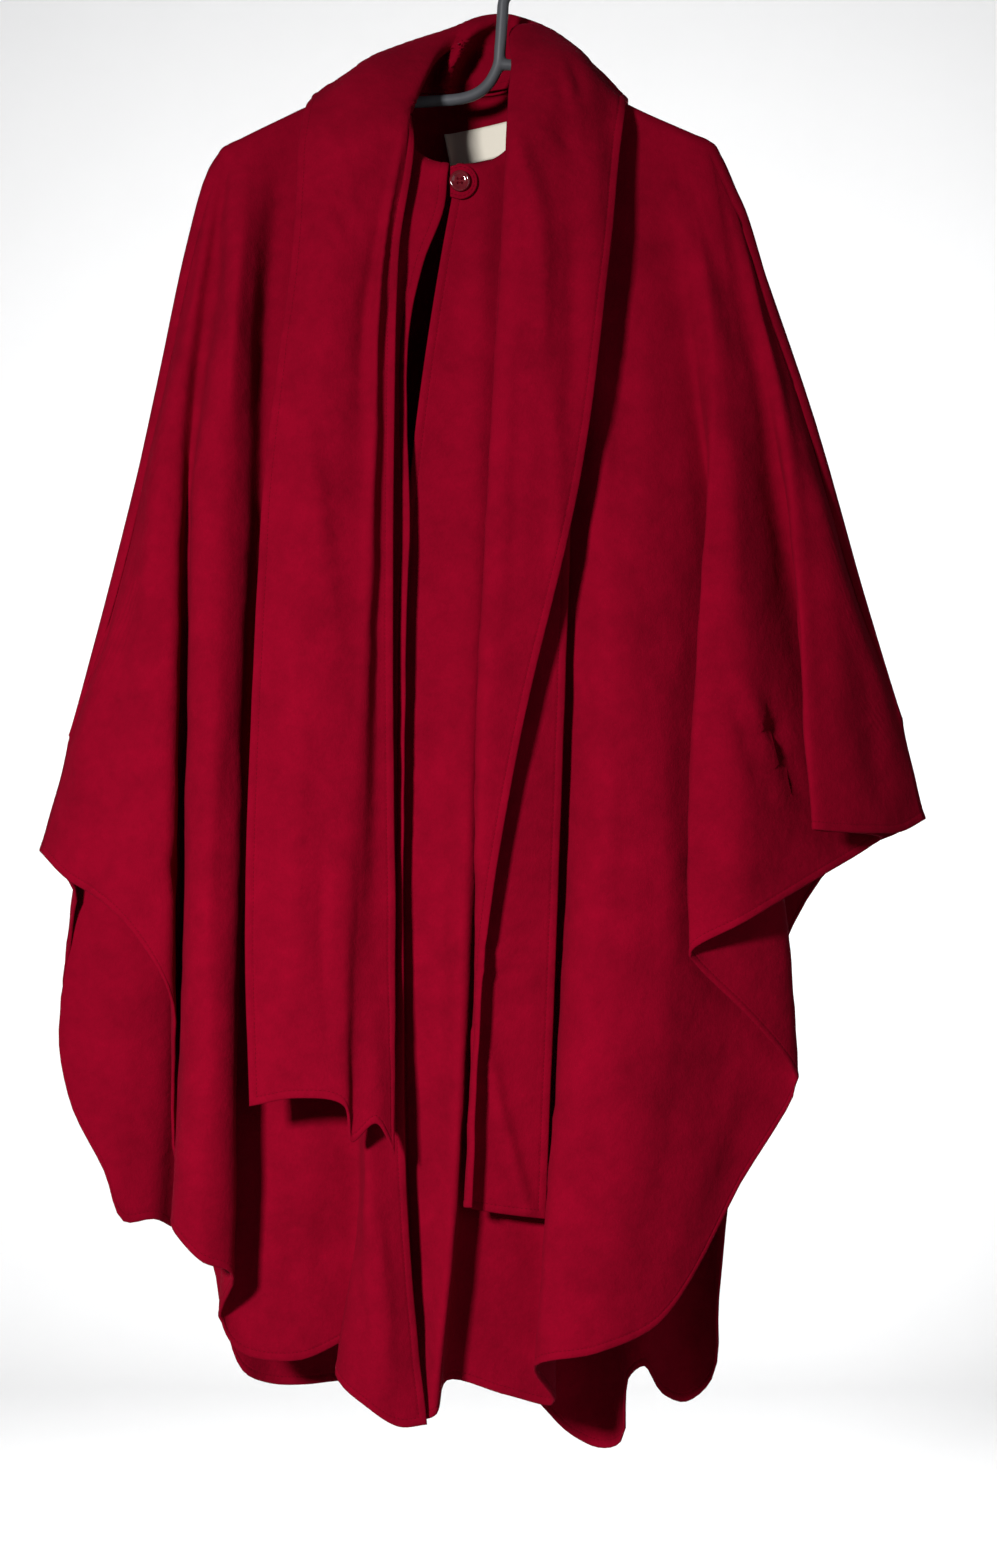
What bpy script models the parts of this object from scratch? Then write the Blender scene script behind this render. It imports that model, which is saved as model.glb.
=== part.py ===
"""Wool cape with an attached scarf collar, hanging on a plastic clothes hanger.

The origin is the inner top of the hanger's hook, +X is the viewer's right, +Y points away
from the viewer, towards the back of the cape, and +Z is up. All sizes in the tables are in
millimetres. "left" and "right" in the names are the viewer's.

Every sheet of cloth is lofted through fold lines, the ridges and valleys that run from the
shoulder or the neckline down to the hem. A table row is one fold line. Its x and z are read
straight from the front on the hanger's plane, and place() moves them to their own depth.
"""
import math
from collections import namedtuple

import bmesh
import bpy
import numpy as np
from mathutils import Vector
from mathutils.bvhtree import BVHTree

# Cloth and seams
CLOTH = 2.0             # wall of the wool cloth
SEAM_GAP = 0.3          # clear gap where two pieces meet
ROLL = 8.0              # radius at which the cloth turns over the shoulder and the sides
CORNER_ROLL = 2.2       # the same at the side corners, where the edge lies flat

FRONT_REACH = 300.0     # a distance in front of every piece

# The point the front was measured from
VIEW_DISTANCE = 2400.0
VIEW_X = -1.0
VIEW_Z = -710.0

# Neck opening, an ellipse seen from above
NECK_X = -32.0          # middle of the neck opening
NECK_HALF_WIDTH = 72.0
NECK_FRONT_DEPTH = 50.0
NECK_BACK_DEPTH = 42.0
NECK_LEFT_Z = -121.0    # where the neckline meets the left shoulder
NECK_RIGHT_Z = -97.0    # where it meets the right shoulder
NECK_FRONT_Z = -182.0
NECK_BACK_Z = -122.0
NECK_POWER = 3.0        # how squarely the neckline drops from its sides to its middle
COLLAR_POWER = 2.0      # the same for the scarf's sewn edge in front, which rides higher
COLLAR_LAP = 22.0       # how far the scarf comes to lie on the fronts
TAIL_GAP = 1.2          # where the scarf round the neck ends above its tails
COLLAR_LIFT = 1.9       # height of the scarf's sewn edge above the neckline
COLLAR_BULGE = 5.0      # how far its inner side sags below the crest

# Hanger
HANGER_ROD = 5.2        # radius of the round plastic section
RIGHT_ROD = 5.0         # radius of the right arm where it leaves the stem
ARM_DROP = 8.3          # how far the middle of an arm lies below the shoulder seam
HOOK_INNER = 15.0       # inner radius of the hook
HOOK_TIP = 205.0        # angle of its tip, in degrees
HOOK_TURN = 265.0       # how far it turns from there to the stem

# Button, tab and label
BUTTON_RADIUS = 9.0
BUTTON_THICK = 4.0
BUTTON_X = -35.0
BUTTON_Z = -196.0
TAB_LEFT_X = -43.4      # the end sewn to the edge of the left front
TAB_DEPTH = -64.0       # depth at which the tab and the button were measured
TAB_ROUND = 15.0        # radius of its free end, round the button
TAB_TAPER = 2.0         # by how much its sewn end is narrower, above and below
TAB_THICK = 2.0
LABEL_THICK = 0.8
LABEL_DEPTH = 42.0      # depth at which the label was measured
LABEL_LEFT_X = -48.7
LABEL_WIDTH = 64.0
LABEL_HEIGHT = 29.0
LABEL_TOP_Z = -155.0
LABEL_TILT = 11.0       # turn in degrees, its right end up

# Grid of the sheets
SHEET_ROWS = 14
ROW_SPREAD = 1.15       # power that brings the rows closer together at the top
ROLL_ROWS = 3
SCARF_ROWS = 3
STATIONS = (0.0, 0.3, 0.6, 0.85, 1.0)

SeamPoint = namedtuple("SeamPoint", "x z")
LEFT_SEAM = [
    SeamPoint(-104, -121), SeamPoint(-140, -125), SeamPoint(-167, -132),
    SeamPoint(-211, -153), SeamPoint(-241, -168), SeamPoint(-254, -188),
    SeamPoint(-261, -212), SeamPoint(-283, -291), SeamPoint(-300, -387),
    SeamPoint(-326, -500), SeamPoint(-361, -631), SeamPoint(-401, -780),
]
RIGHT_SEAM = [
    SeamPoint(40, -97), SeamPoint(80, -114), SeamPoint(124, -137),
    SeamPoint(175, -159), SeamPoint(186, -164), SeamPoint(193, -177),
    SeamPoint(217, -231), SeamPoint(237, -300), SeamPoint(280, -424),
    SeamPoint(319, -566), SeamPoint(349, -665), SeamPoint(370, -753),
]

# Fold lines of the front sheets. Stations 1 to 3 lie at 0.3, 0.6 and 0.85 of the height
# between the seam and the hem, and the depth y is negative towards the viewer.
Fold = namedtuple("Fold", "name start_x x1 y1 x2 y2 x3 y3 hem_x hem_y hem_z")
FRONT_LEFT = [
    Fold("front edge", -44, -79, -60, -84, -62, -79, -74, -64, -78, -1279),
    Fold("edge flank", -58, -92, -54, -98, -54, -95, -80, -88, -86, -1281),
    Fold("centre ridge", -72, -112, -50, -118, -50, -114, -84, -112, -88, -1267),
    Fold("centre ridge, far side", -86, -135, -46, -138, -44, -119, -60, -143, -62, -1236),
    Fold("valley right", -102, -150, -42, -150, -36, -124, -34, -126, -34, -1203),
    Fold("valley floor", -135, -168, -44, -175, -42, -170, -40, -175, -40, -1223),
    Fold("valley left", -165, -190, -42, -204, -38, -220, -34, -226, -34, -1216),
    Fold("foot of side ridge", -190, -208, -40, -218, -34, -238, -36, -243, -42, -1190),
    Fold("side ridge right", -212, -222, -60, -228, -76, -232, -82, -233, -82, -1148),
    Fold("side ridge", -224, -242, -72, -250, -90, -254, -97, -260, -95, -1137),
    Fold("side ridge left", -234, -261, -62, -269, -76, -275, -80, -284, -76, -1110),
    Fold("tuck valley", -241, -264, -40, -273, -32, -278, -29, -281, -29, -1085),
    Fold("tuck fold", -247, -270, -34, -281, -28, -285, -28, -285, -31, -1000),
    Fold("side panel fold", -253, -277, -42, -284, -58, -287, -68, -287, -72, -907),
    Fold("side panel 1", -272, -292, -44, -305, -58, -313, -67, -318, -71, -853),
    Fold("side panel 2", -308, -322, -34, -334, -47, -343, -54, -347, -56, -823),
    Fold("side panel 3", -345, -358, -22, -367, -30, -374, -35, -378, -34, -803),
    Fold("side corner", -374, -381.0, -2, -389.2, -2, -396.2, -2, -400.4, -2, -780),
]
FRONT_RIGHT = [
    Fold("front edge", -38, -84, -42, -90, -42, -84, -46, -74, -50, -1268),
    Fold("edge strip", -28, -45, -46, -52, -54, -59, -62, -68, -64, -1274),
    Fold("edge ridge", -16, -20, -54, -30, -70, -42, -78, -58, -74, -1272),
    Fold("edge ridge, far side", -5, 0, -46, -14, -44, -30, -42, -46, -40, -1240),
    Fold("valley floor", 6, 25, -42, 20, -38, 8, -36, 5, -34, -1253),
    Fold("valley right", 18, 46, -42, 48, -38, 42, -36, 46, -36, -1262),
    Fold("main panel left", 29, 66, -50, 68, -66, 46, -86, 31, -90, -1228),
    Fold("main panel ridge", 46, 92, -60, 98, -84, 90, -102, 84, -104, -1217),
    Fold("main panel middle", 85, 128, -54, 138, -74, 142, -88, 140, -84, -1189),
    Fold("main panel right", 118, 155, -42, 182, -44, 200, -44, 209, -42, -1070),
    Fold("main panel fold", 138, 172, -32, 214, -24, 250, -22, 258, -24, -985),
    Fold("tuck fold", 146, 176, -34, 214, -33, 248, -33, 254, -35, -970),
    Fold("tuck", 156, 178, -40, 204, -48, 218, -58, 214, -62, -922),
    Fold("second panel inner fold", 165, 181, -47, 178, -64, 172, -76, 172, -80, -880),
    Fold("second panel outer fold", 172, 186, -52, 174, -73, 165, -86, 166, -90, -868),
    Fold("second panel middle", 181, 197, -50, 206, -74, 208, -92, 212, -94, -842),
    Fold("second panel right", 187, 213, -38, 238, -44, 256, -52, 272, -56, -806),
    Fold("side tuck", 192, 221, -29, 255, -22, 297, -17, 322, -16, -776),
    Fold("side tuck fold", 197, 228, -27, 265, -25, 304, -29, 332, -30, -768),
    Fold("side panel inner fold", 205, 237, -32, 258, -48, 268, -68, 275, -75, -762),
    Fold("side panel outer fold", 214, 245, -35, 260, -56, 268, -78, 274, -86, -761),
    Fold("side panel 1", 236, 262, -34, 278, -54, 290, -70, 297, -76, -763),
    Fold("side panel 2", 270, 288, -34, 303, -46, 316, -54, 324, -56, -764),
    Fold("side panel 3", 315, 327, -22, 337, -28, 344, -30, 349, -30, -763),
    Fold("side corner", 349, 354.4, -2, 361, -2, 366, -2, 369.8, -2, -752),
]

# Where a fold line bends near its top: an extra station at a share of its height
Bend = namedtuple("Bend", "name share x y")
LEFT_BENDS = [
    Bend("front edge", 0.025, -48, -58), Bend("front edge", 0.07, -66, -56),
    Bend("edge flank", 0.025, -62, -56), Bend("edge flank", 0.07, -78, -52),
    Bend("centre ridge", 0.07, -92, -54),
]
RIGHT_BENDS = [Bend("front edge", 0.07, -52, -52), Bend("edge strip", 0.07, -34, -52)]

# Fold lines of the back sheet, from the left corner to the right one
BackFold = namedtuple("BackFold", "start_x hem_x hem_y hem_z")
BACK = [
    BackFold(-374, -400.6, 2, -780), BackFold(-364, -371, 18, -815),
    BackFold(-355, -374, 34, -852), BackFold(-341, -380, 42, -895), BackFold(-322, -384, 44, -950),
    BackFold(-296, -372, 35, -1005), BackFold(-272, -345, 25, -1058),
    BackFold(-253, -328, 24, -1102), BackFold(-238, -302, 30, -1100),
    BackFold(-226, -284, 52, -1108), BackFold(-214, -258, 60, -1120), BackFold(-198, -240, 36, -1190),
    BackFold(-180, -224, 40, -1232), BackFold(-160, -200, 58, -1243),
    BackFold(-142, -170, 66, -1244), BackFold(-124, -142, 50, -1241),
    BackFold(-110, -118, 34, -1240), BackFold(-99, -106, 40, -1245),
    BackFold(-88, -88, 48, -1250),
    BackFold(-70, -62, 62, -1245), BackFold(-48, -35, 55, -1235),
    BackFold(-26, -8, 38, -1235), BackFold(-6, 18, 38, -1245),
    BackFold(14, 40, 58, -1266), BackFold(32, 62, 78, -1288),
    BackFold(54, 86, 84, -1299), BackFold(78, 105, 66, -1294),
    BackFold(98, 110, 38, -1240), BackFold(118, 126, 32, -1228),
    BackFold(136, 142, 52, -1252), BackFold(154, 162, 70, -1259),
    BackFold(170, 184, 58, -1240), BackFold(182, 190, 36, -1170),
    BackFold(191, 204, 30, -1050), BackFold(204, 224, 46, -960),
    BackFold(232, 246, 56, -865), BackFold(274, 294, 42, -788),
    BackFold(320, 342, 22, -766), BackFold(349, 369.8, 2, -752),
]

# Scarf tails: a row is a lengthwise edge or fold of the strip, read at its stations. The
# strip is folded along its length, and the rows run from the edge of the under layer,
# over the fold to the edge of the upper layer.
LEFT_TAIL_Z = (-152, -260, -420, -620, -860)
RIGHT_TAIL_Z = (-152, -265, -450, -690, -880)
Strip = namedtuple("Strip", "name x0 y0 x1 y1 x2 y2 x3 y3 x4 y4 end_x end_y end_z")
LEFT_TAIL = [
    Strip("under edge", -76, -60, -88, -68, -92, -72, -93, -72, -91, -74, -92, -94, -1044),
    Strip("under fold", -79, -63, -97, -68, -103, -72, -107, -74, -110, -80, -108, -100, -1017),
    Strip("rolled ridge", -82, -67, -102, -77, -109, -83, -116, -87, -124, -88, -129, -102, -1033),
    Strip("crest", -87, -68, -110, -75, -118, -81, -127, -89, -135, -96, -137, -108, -1001),
    Strip("upper middle", -128, -66, -146, -80, -158, -88, -168, -94, -174, -98, -176, -108, -995),
    Strip("upper edge", -174, -40, -181, -62, -202, -72, -215, -84, -222, -92, -218, -100, -1002),
]
RIGHT_TAIL = [
    Strip("under edge", 34, -53, 60, -60, 62, -66, 55, -66, 48, -62, 40, -60, -1100),
    Strip("under middle", 21, -57, 30, -64, 28, -72, 18, -76, 12, -68, 5, -64, -1096),
    Strip("under fold", 11, -60, 7, -68, -2, -77, -12, -81, -13, -72, -21, -68, -1092),
    Strip("crest", 7, -66, 1, -76, -9, -86, -20, -89, -21, -79, -30, -75, -1090),
    Strip("upper middle", 16, -73, 14, -85, 4, -95, -14, -97, -20, -86, -29, -82, -1090),
    Strip("upper edge", 107, -38, 95, -70, 71, -88, 16, -96, -14, -90, -24, -85, -1090),
]

# Scarf round the neck, from the left tail behind the neck to the right tail: the angle of
# its seam on the neckline (0 is the back, 90 the right shoulder), how far the inner side
# leans into the neck, the crest of the roll, and the middle and the free edge of the part
# that falls outwards
Collar = namedtuple(
    "Collar",
    "seam_angle lean crest_x crest_y crest_z middle_x middle_y middle_z edge_x edge_y edge_z",
)
COLLAR = [
    Collar(250, 6, -66, -32, -104, -112, -26, -97, -166, -12, -126),
    Collar(285, 7, -49, 8, -75, -96, 24, -82, -142, 36, -130),
    Collar(328, 7, -22, 35, -56, -52, 54, -82, -78, 72, -165),
    Collar(5, 7, 6, 42, -52, 12, 64, -84, 5, 82, -178),
    Collar(42, 5, 28, 34, -60, 62, 50, -81, 80, 68, -160),
    Collar(75, 1, 11, 11, -64, 62, 18, -78, 111, 26, -130),
    Collar(104, 1, 11, -28, -96, 60, -28, -92, 111, -10, -124),
    Collar(124, 1, 9, -50, -128, 58, -52, -122, 109, -26, -136),
]

# Hanger: centre line of the stem, which sweeps into the left arm, and of the spur that
# starts the right arm. The arms follow the shoulder seams at the given x.
PathPoint = namedtuple("PathPoint", "x z")
STEM = [
    PathPoint(10.1, -32.5), PathPoint(7, -34.3), PathPoint(4.1, -37.2), PathPoint(3, -41.5),
    PathPoint(2.2, -52), PathPoint(0, -83),
    PathPoint(-1, -94), PathPoint(-5, -104), PathPoint(-11, -113), PathPoint(-20, -120),
    PathPoint(-33, -124.5), PathPoint(-60, -127),
]
RIGHT_SPUR = [PathPoint(-1, -95), PathPoint(14, -96), PathPoint(40, -107.5)]
LEFT_ARM_X = (-104, -140, -167, -211, -230)
RIGHT_ARM_X = (80, 124, 172, 178)


def spline(knots, values, at):
    """Smooth curve through values at increasing knots, read at the given positions."""
    knots = np.asarray(knots, float)
    values = np.asarray(values, float)
    at = np.asarray(at, float)
    steps = np.diff(knots)
    slopes = np.diff(values, axis=0) / steps[:, None]
    tangents = np.empty_like(values)
    tangents[0] = slopes[0]
    tangents[-1] = slopes[-1]
    before = steps[:-1, None]
    after = steps[1:, None]
    tangents[1:-1] = (slopes[:-1] * after + slopes[1:] * before) / (before + after)
    span = np.clip(np.searchsorted(knots, at, side="right") - 1, 0, len(steps) - 1)
    width = steps[span]
    part = ((at - knots[span]) / width)[:, None]
    width = width[:, None]
    first = (1 + 2 * part) * (1 - part) ** 2 * values[span]
    last = part ** 2 * (3 - 2 * part) * values[span + 1]
    bend = part * (1 - part) ** 2 * tangents[span] - part ** 2 * (1 - part) * tangents[span + 1]
    return first + last + bend * width


def through(points, per_span):
    """Smooth curve through points, with per_span steps between each two of them."""
    points = np.asarray(points, float)
    lengths = np.sqrt(np.linalg.norm(np.diff(points, axis=0), axis=1)) + 1e-6
    knots = np.concatenate([[0.0], np.cumsum(lengths)])
    at = [knots[i] + lengths[i] * k / per_span for i in range(len(lengths)) for k in range(per_span)]
    return spline(knots, points, at + [knots[-1]])


def place(points):
    """Move points read from the front on the hanger's plane to their own depth."""
    moved = np.array(points, float)
    scale = 1.0 + moved[..., 1] / VIEW_DISTANCE
    moved[..., 0] = VIEW_X + (moved[..., 0] - VIEW_X) * scale
    moved[..., 2] = VIEW_Z + (moved[..., 2] - VIEW_Z) * scale
    return moved


def neck_point(x, face, power=NECK_POWER):
    """Point of the neckline at x, on the front (face -1) or the back (face 1)."""
    across = np.clip((x - NECK_X) / NECK_HALF_WIDTH, -1.0, 1.0)
    out = math.sqrt(1.0 - across ** 2)
    side_z = NECK_LEFT_Z if across < 0 else NECK_RIGHT_Z
    middle_z = NECK_FRONT_Z if face < 0 else NECK_BACK_Z
    height = side_z + (middle_z - side_z) * (1.0 - abs(across) ** power)
    depth = NECK_FRONT_DEPTH if face < 0 else NECK_BACK_DEPTH
    return np.array([x, face * depth * out, height])


def seam_point(x, face):
    """Start of a fold line: on the neckline, the shoulder or the side, whichever x meets."""
    if LEFT_SEAM[0].x < x < RIGHT_SEAM[0].x:
        point = neck_point(x, face)
    else:
        seam = LEFT_SEAM if x <= LEFT_SEAM[0].x else RIGHT_SEAM
        xs = [abs(p.x) for p in seam]
        z = np.interp(abs(x), xs, [p.z for p in seam])
        point = np.array([x, 0.0, z])
    point[1] += face * SEAM_GAP / 2
    return point


def seam_normals(starts, side):
    """Directions in the XZ plane that point from the seam into the sheet."""
    flat = np.array(starts)[:, [0, 2]]
    tangents = np.gradient(flat, axis=0)
    normals = np.stack([tangents[:, 1], -tangents[:, 0]], axis=1) * side
    return normals / np.linalg.norm(normals, axis=1)[:, None]


def sheet_grid(lines, face, side, per_span):
    """Grid of points of one sheet: a row for each height, a column for each fold line."""
    starts = [start for start, _, _ in lines]
    normals = seam_normals(starts, side)
    heights = (np.linspace(0.0, 1.0, SHEET_ROWS + 1) ** ROW_SPREAD)[1:]
    turns = [math.radians(90.0) * k / ROLL_ROWS for k in range(ROLL_ROWS + 1)]
    columns = []
    for (start, stations, roll), normal in zip(lines, normals):
        column = []
        for turn in turns:
            inward = roll * (1.0 - math.cos(turn))
            x = start[0] + normal[0] * inward
            z = start[2] + normal[1] * inward
            column.append([x, start[1] + face * roll * math.sin(turn), z])
        top = column[-1]
        shares = [0.0] + [station[0] for station in stations]
        knots = [top] + [list(station[1:]) for station in stations]
        column.extend(spline(shares, knots, heights).tolist())
        columns.append(column)
    rows = np.array(columns).transpose(1, 0, 2)
    grid = np.array([through(row, per_span) for row in rows])
    for k, turn in enumerate(turns):
        least = SEAM_GAP / 2 + CORNER_ROLL * math.sin(turn)
        grid[k, :, 1] = face * np.maximum(face * grid[k, :, 1], least)
    return place(grid)


def front_lines(table, bends):
    """Start, stations and roll of each fold line of a front sheet.

    A station is its share of the height and its point.
    """
    lines = []
    for fold in table:
        start = seam_point(fold.start_x, -1)
        roll = CORNER_ROLL if fold is table[-1] else ROLL
        top_z = start[2] - roll
        places = [(bend.share, bend.x, bend.y) for bend in bends if bend.name == fold.name]
        places += zip(
            STATIONS[1:],
            (fold.x1, fold.x2, fold.x3, fold.hem_x),
            (fold.y1, fold.y2, fold.y3, fold.hem_y),
        )
        stations = [(t, x, y, top_z + (fold.hem_z - top_z) * t) for t, x, y in places]
        lines.append((start, stations, roll))
    return lines


def back_lines():
    """Start and stations of each fold line of the back sheet."""
    lines = []
    for fold in BACK:
        start = seam_point(fold.start_x, 1)
        roll = CORNER_ROLL if fold in (BACK[0], BACK[-1]) else ROLL
        top = np.array([start[0], start[1] + roll, start[2] - roll])
        hem = np.array([fold.hem_x, fold.hem_y, fold.hem_z])
        stations = []
        for t in STATIONS[1:]:
            point = top + (hem - top) * t
            point[1] = top[1] + (hem[1] - top[1]) * t ** 0.8
            stations.append((t, *point))
        lines.append((start, stations, roll))
    return lines


def tail_grid(strips, station_z, per_station, per_span):
    """Grid of a scarf tail: a row for each height, a column for each point of the section."""
    lines = []
    for strip in strips:
        xs = (strip.x0, strip.x1, strip.x2, strip.x3, strip.x4, strip.end_x)
        ys = (strip.y0, strip.y1, strip.y2, strip.y3, strip.y4, strip.end_y)
        zs = list(station_z) + [strip.end_z]
        lines.append(through(list(zip(xs, ys, zs)), per_station))
    rows = np.array(lines).transpose(1, 0, 2)
    return place(np.array([through(row, per_span) for row in rows]))


def tail_top(strips, z):
    """Section just above the top of a tail, where the collar ends."""
    return [np.array([s.x0, s.y0, z + TAIL_GAP]) for s in strips]


def collar_grid(per_section, per_span):
    """Grid of the scarf round the neck, from its seam over the crest to its free edge."""
    sections = [tail_top(LEFT_TAIL, LEFT_TAIL_Z[0])]
    for c in COLLAR:
        angle = math.radians(c.seam_angle)
        seam_x = NECK_X + NECK_HALF_WIDTH * math.sin(angle)
        face = 1 if math.cos(angle) > 0 else -1
        seam = neck_point(seam_x, face, NECK_POWER if face > 0 else COLLAR_POWER)
        crest = np.array([c.crest_x, c.crest_y, c.crest_z], float)
        towards = np.array([NECK_X - crest[0], -crest[1], 0.0])
        towards /= np.linalg.norm(towards)
        on_front = max(0.0, -math.cos(angle)) * COLLAR_LAP
        lower = seam + np.array([0.0, -on_front, COLLAR_LIFT])
        sag = np.array([0.0, 0.0, -COLLAR_BULGE])
        inner = crest + (lower - crest) / 4 + towards * c.lean + sag
        wall = (crest + lower) / 2 + towards * c.lean / 2
        middle = (c.middle_x, c.middle_y, c.middle_z)
        edge = (c.edge_x, c.edge_y, c.edge_z)
        sections.append([lower, wall, inner, crest, middle, edge])
    sections.append(tail_top(RIGHT_TAIL, RIGHT_TAIL_Z[0]))
    lines = [through([s[k] for s in sections], per_section) for k in range(6)]
    rows = np.array(lines).transpose(1, 0, 2)
    return place(np.array([through(row, per_span) for row in rows]))


def grid_tangents(grid):
    """Direction along the first axis of a grid, halfway between the steps before and after."""
    steps = np.diff(grid, axis=0)
    steps /= np.linalg.norm(steps, axis=2)[..., None] + 1e-12
    return np.concatenate([steps[:1], steps[1:] + steps[:-1], steps[-1:]])


def grid_normals(grid):
    """Unit normals of a grid of points."""
    down = grid_tangents(grid)
    across = grid_tangents(grid.transpose(1, 0, 2)).transpose(1, 0, 2)
    normals = np.cross(down, across)
    return normals / (np.linalg.norm(normals, axis=2)[..., None] + 1e-12)


def finish_mesh(name, points_mm, faces, look):
    """Make one named object from points in millimetres, shaded smooth, with its material."""
    mesh = bpy.data.meshes.new(name)
    mesh.from_pydata([tuple(0.001 * c for c in p) for p in points_mm], [], faces)
    mesh.validate()
    shell = bmesh.new()
    shell.from_mesh(mesh)
    bmesh.ops.recalc_face_normals(shell, faces=shell.faces)
    shell.to_mesh(mesh)
    shell.free()
    mesh.shade_smooth()
    mesh.set_sharp_from_angle(angle=math.radians(50))
    mesh.materials.append(look)
    thing = bpy.data.objects.new(name, mesh)
    bpy.context.collection.objects.link(thing)
    return thing


def walled(name, grid, thickness, look, seamed=False):
    """Closed sheet with a wall of the given thickness, half on each side of the grid.

    A seamed sheet has its first row on the seam, where its end face stands square to Y.
    """
    rows, columns = grid.shape[:2]
    normals = grid_normals(grid)
    if seamed:
        normals[0, :, 1] = 0.0
        normals[0] /= np.linalg.norm(normals[0], axis=1)[:, None]
    outer = (grid + normals * thickness / 2).reshape(-1, 3)
    inner = (grid - normals * thickness / 2).reshape(-1, 3)
    count = rows * columns
    faces = []
    for i in range(rows - 1):
        for j in range(columns - 1):
            a = i * columns + j
            quad = (a, a + columns, a + columns + 1, a + 1)
            faces.append(quad)
            faces.append(tuple(count + v for v in reversed(quad)))
    top = [j for j in range(columns)]
    right = [i * columns + columns - 1 for i in range(1, rows)]
    bottom = [(rows - 1) * columns + j for j in range(columns - 2, -1, -1)]
    left = [i * columns for i in range(rows - 2, 0, -1)]
    rim = top + right + bottom + left
    for a, b in zip(rim, rim[1:] + rim[:1]):
        faces.append((a, b, count + b, count + a))
    return finish_mesh(name, np.concatenate([outer, inner]), faces, look)


def tube(name, path, radius, look, sides=10):
    """Closed round rod along a path in the XZ plane."""
    path = np.asarray(path, float)
    tangents = np.gradient(path, axis=0)
    tangents /= np.linalg.norm(tangents, axis=1)[:, None]
    points = []
    for (x, z), (tx, tz) in zip(path, tangents):
        for k in range(sides):
            turn = 2 * math.pi * k / sides
            out = radius * math.cos(turn)
            points.append((x - tz * out, radius * math.sin(turn), z + tx * out))
    faces = [tuple(range(sides)), tuple(reversed(range(len(points) - sides, len(points))))]
    for i in range(len(path) - 1):
        for k in range(sides):
            a = i * sides + k
            b = i * sides + (k + 1) % sides
            faces.append((a, a + sides, b + sides, b))
    return finish_mesh(name, points, faces, look)


def plate(name, outline, near_y, thickness, look):
    """Flat plate with an outline in the XZ plane, from near_y towards the viewer."""
    count = len(outline)
    points = [(x, near_y, z) for x, z in outline]
    points += [(x, near_y - thickness, z) for x, z in outline]
    faces = [tuple(range(count)), tuple(reversed(range(count, 2 * count)))]
    for k in range(count):
        n = (k + 1) % count
        faces.append((n, k, count + k, count + n))
    return finish_mesh(name, points, faces, look)


def surface_of(thing):
    """Search tree of an object's faces, in millimetres."""
    return BVHTree.FromPolygons(
        [v.co * 1000.0 for v in thing.data.vertices],
        [tuple(p.vertices) for p in thing.data.polygons],
    )


def front_of(things, points):
    """Depth of the foremost surface of some objects over a few points."""
    depths = []
    for thing in things:
        tree = surface_of(thing)
        for x, z in points:
            hit = tree.ray_cast(Vector((x, -FRONT_REACH, z)), Vector((0.0, 1.0, 0.0)))
            if hit[0] is not None and hit[0].y < 0:
                depths.append(hit[0].y)
    return min(depths)


def material(name, colour, roughness, metallic=0.0):
    """Principled material of one piece."""
    look = bpy.data.materials.new(name)
    look.use_nodes = True
    shader = look.node_tree.nodes["Principled BSDF"]
    shader.inputs["Base Color"].default_value = (*colour, 1.0)
    shader.inputs["Roughness"].default_value = roughness
    shader.inputs["Metallic"].default_value = metallic
    return look


def hook_path():
    """Centre line of the hook, from its tip over the top, then the stem and the left arm."""
    radius = HOOK_INNER + HANGER_ROD
    turns = np.radians(np.linspace(HOOK_TIP, HOOK_TIP - HOOK_TURN, 18))
    arc = [(radius * math.cos(t), -HOOK_INNER + radius * math.sin(t)) for t in turns]
    rest = through([(p.x, p.z) for p in STEM] + arm_points(LEFT_ARM_X), 2)
    return arc + [tuple(p) for p in rest[1:]]


def arm_points(xs):
    """Centre of an arm of the hanger at some x, just under the shoulder seam."""
    return [(x, seam_point(x, 1)[2] - ARM_DROP) for x in xs]


def label_on(sheet, look):
    """Label inside the back of the neck, following the inner face of the back sheet."""
    tree = surface_of(sheet)
    cosine = math.cos(math.radians(LABEL_TILT))
    sine = math.sin(math.radians(LABEL_TILT))
    grid = []
    for down in np.linspace(0.0, 1.0, 3):
        row = []
        for across in np.linspace(0.0, 1.0, 7):
            x = LABEL_LEFT_X + LABEL_WIDTH * across * cosine + LABEL_HEIGHT * down * sine
            z = LABEL_TOP_Z + LABEL_WIDTH * across * sine - LABEL_HEIGHT * down * cosine
            x, _, z = place([x, LABEL_DEPTH, z])
            hit = tree.ray_cast(Vector((x, 0.0, z)), Vector((0.0, 1.0, 0.0)))
            row.append((x, hit[0].y - 2 * SEAM_GAP - LABEL_THICK / 2, z))
        grid.append(row)
    return walled("neck_label", np.array(grid), LABEL_THICK, look)


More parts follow.
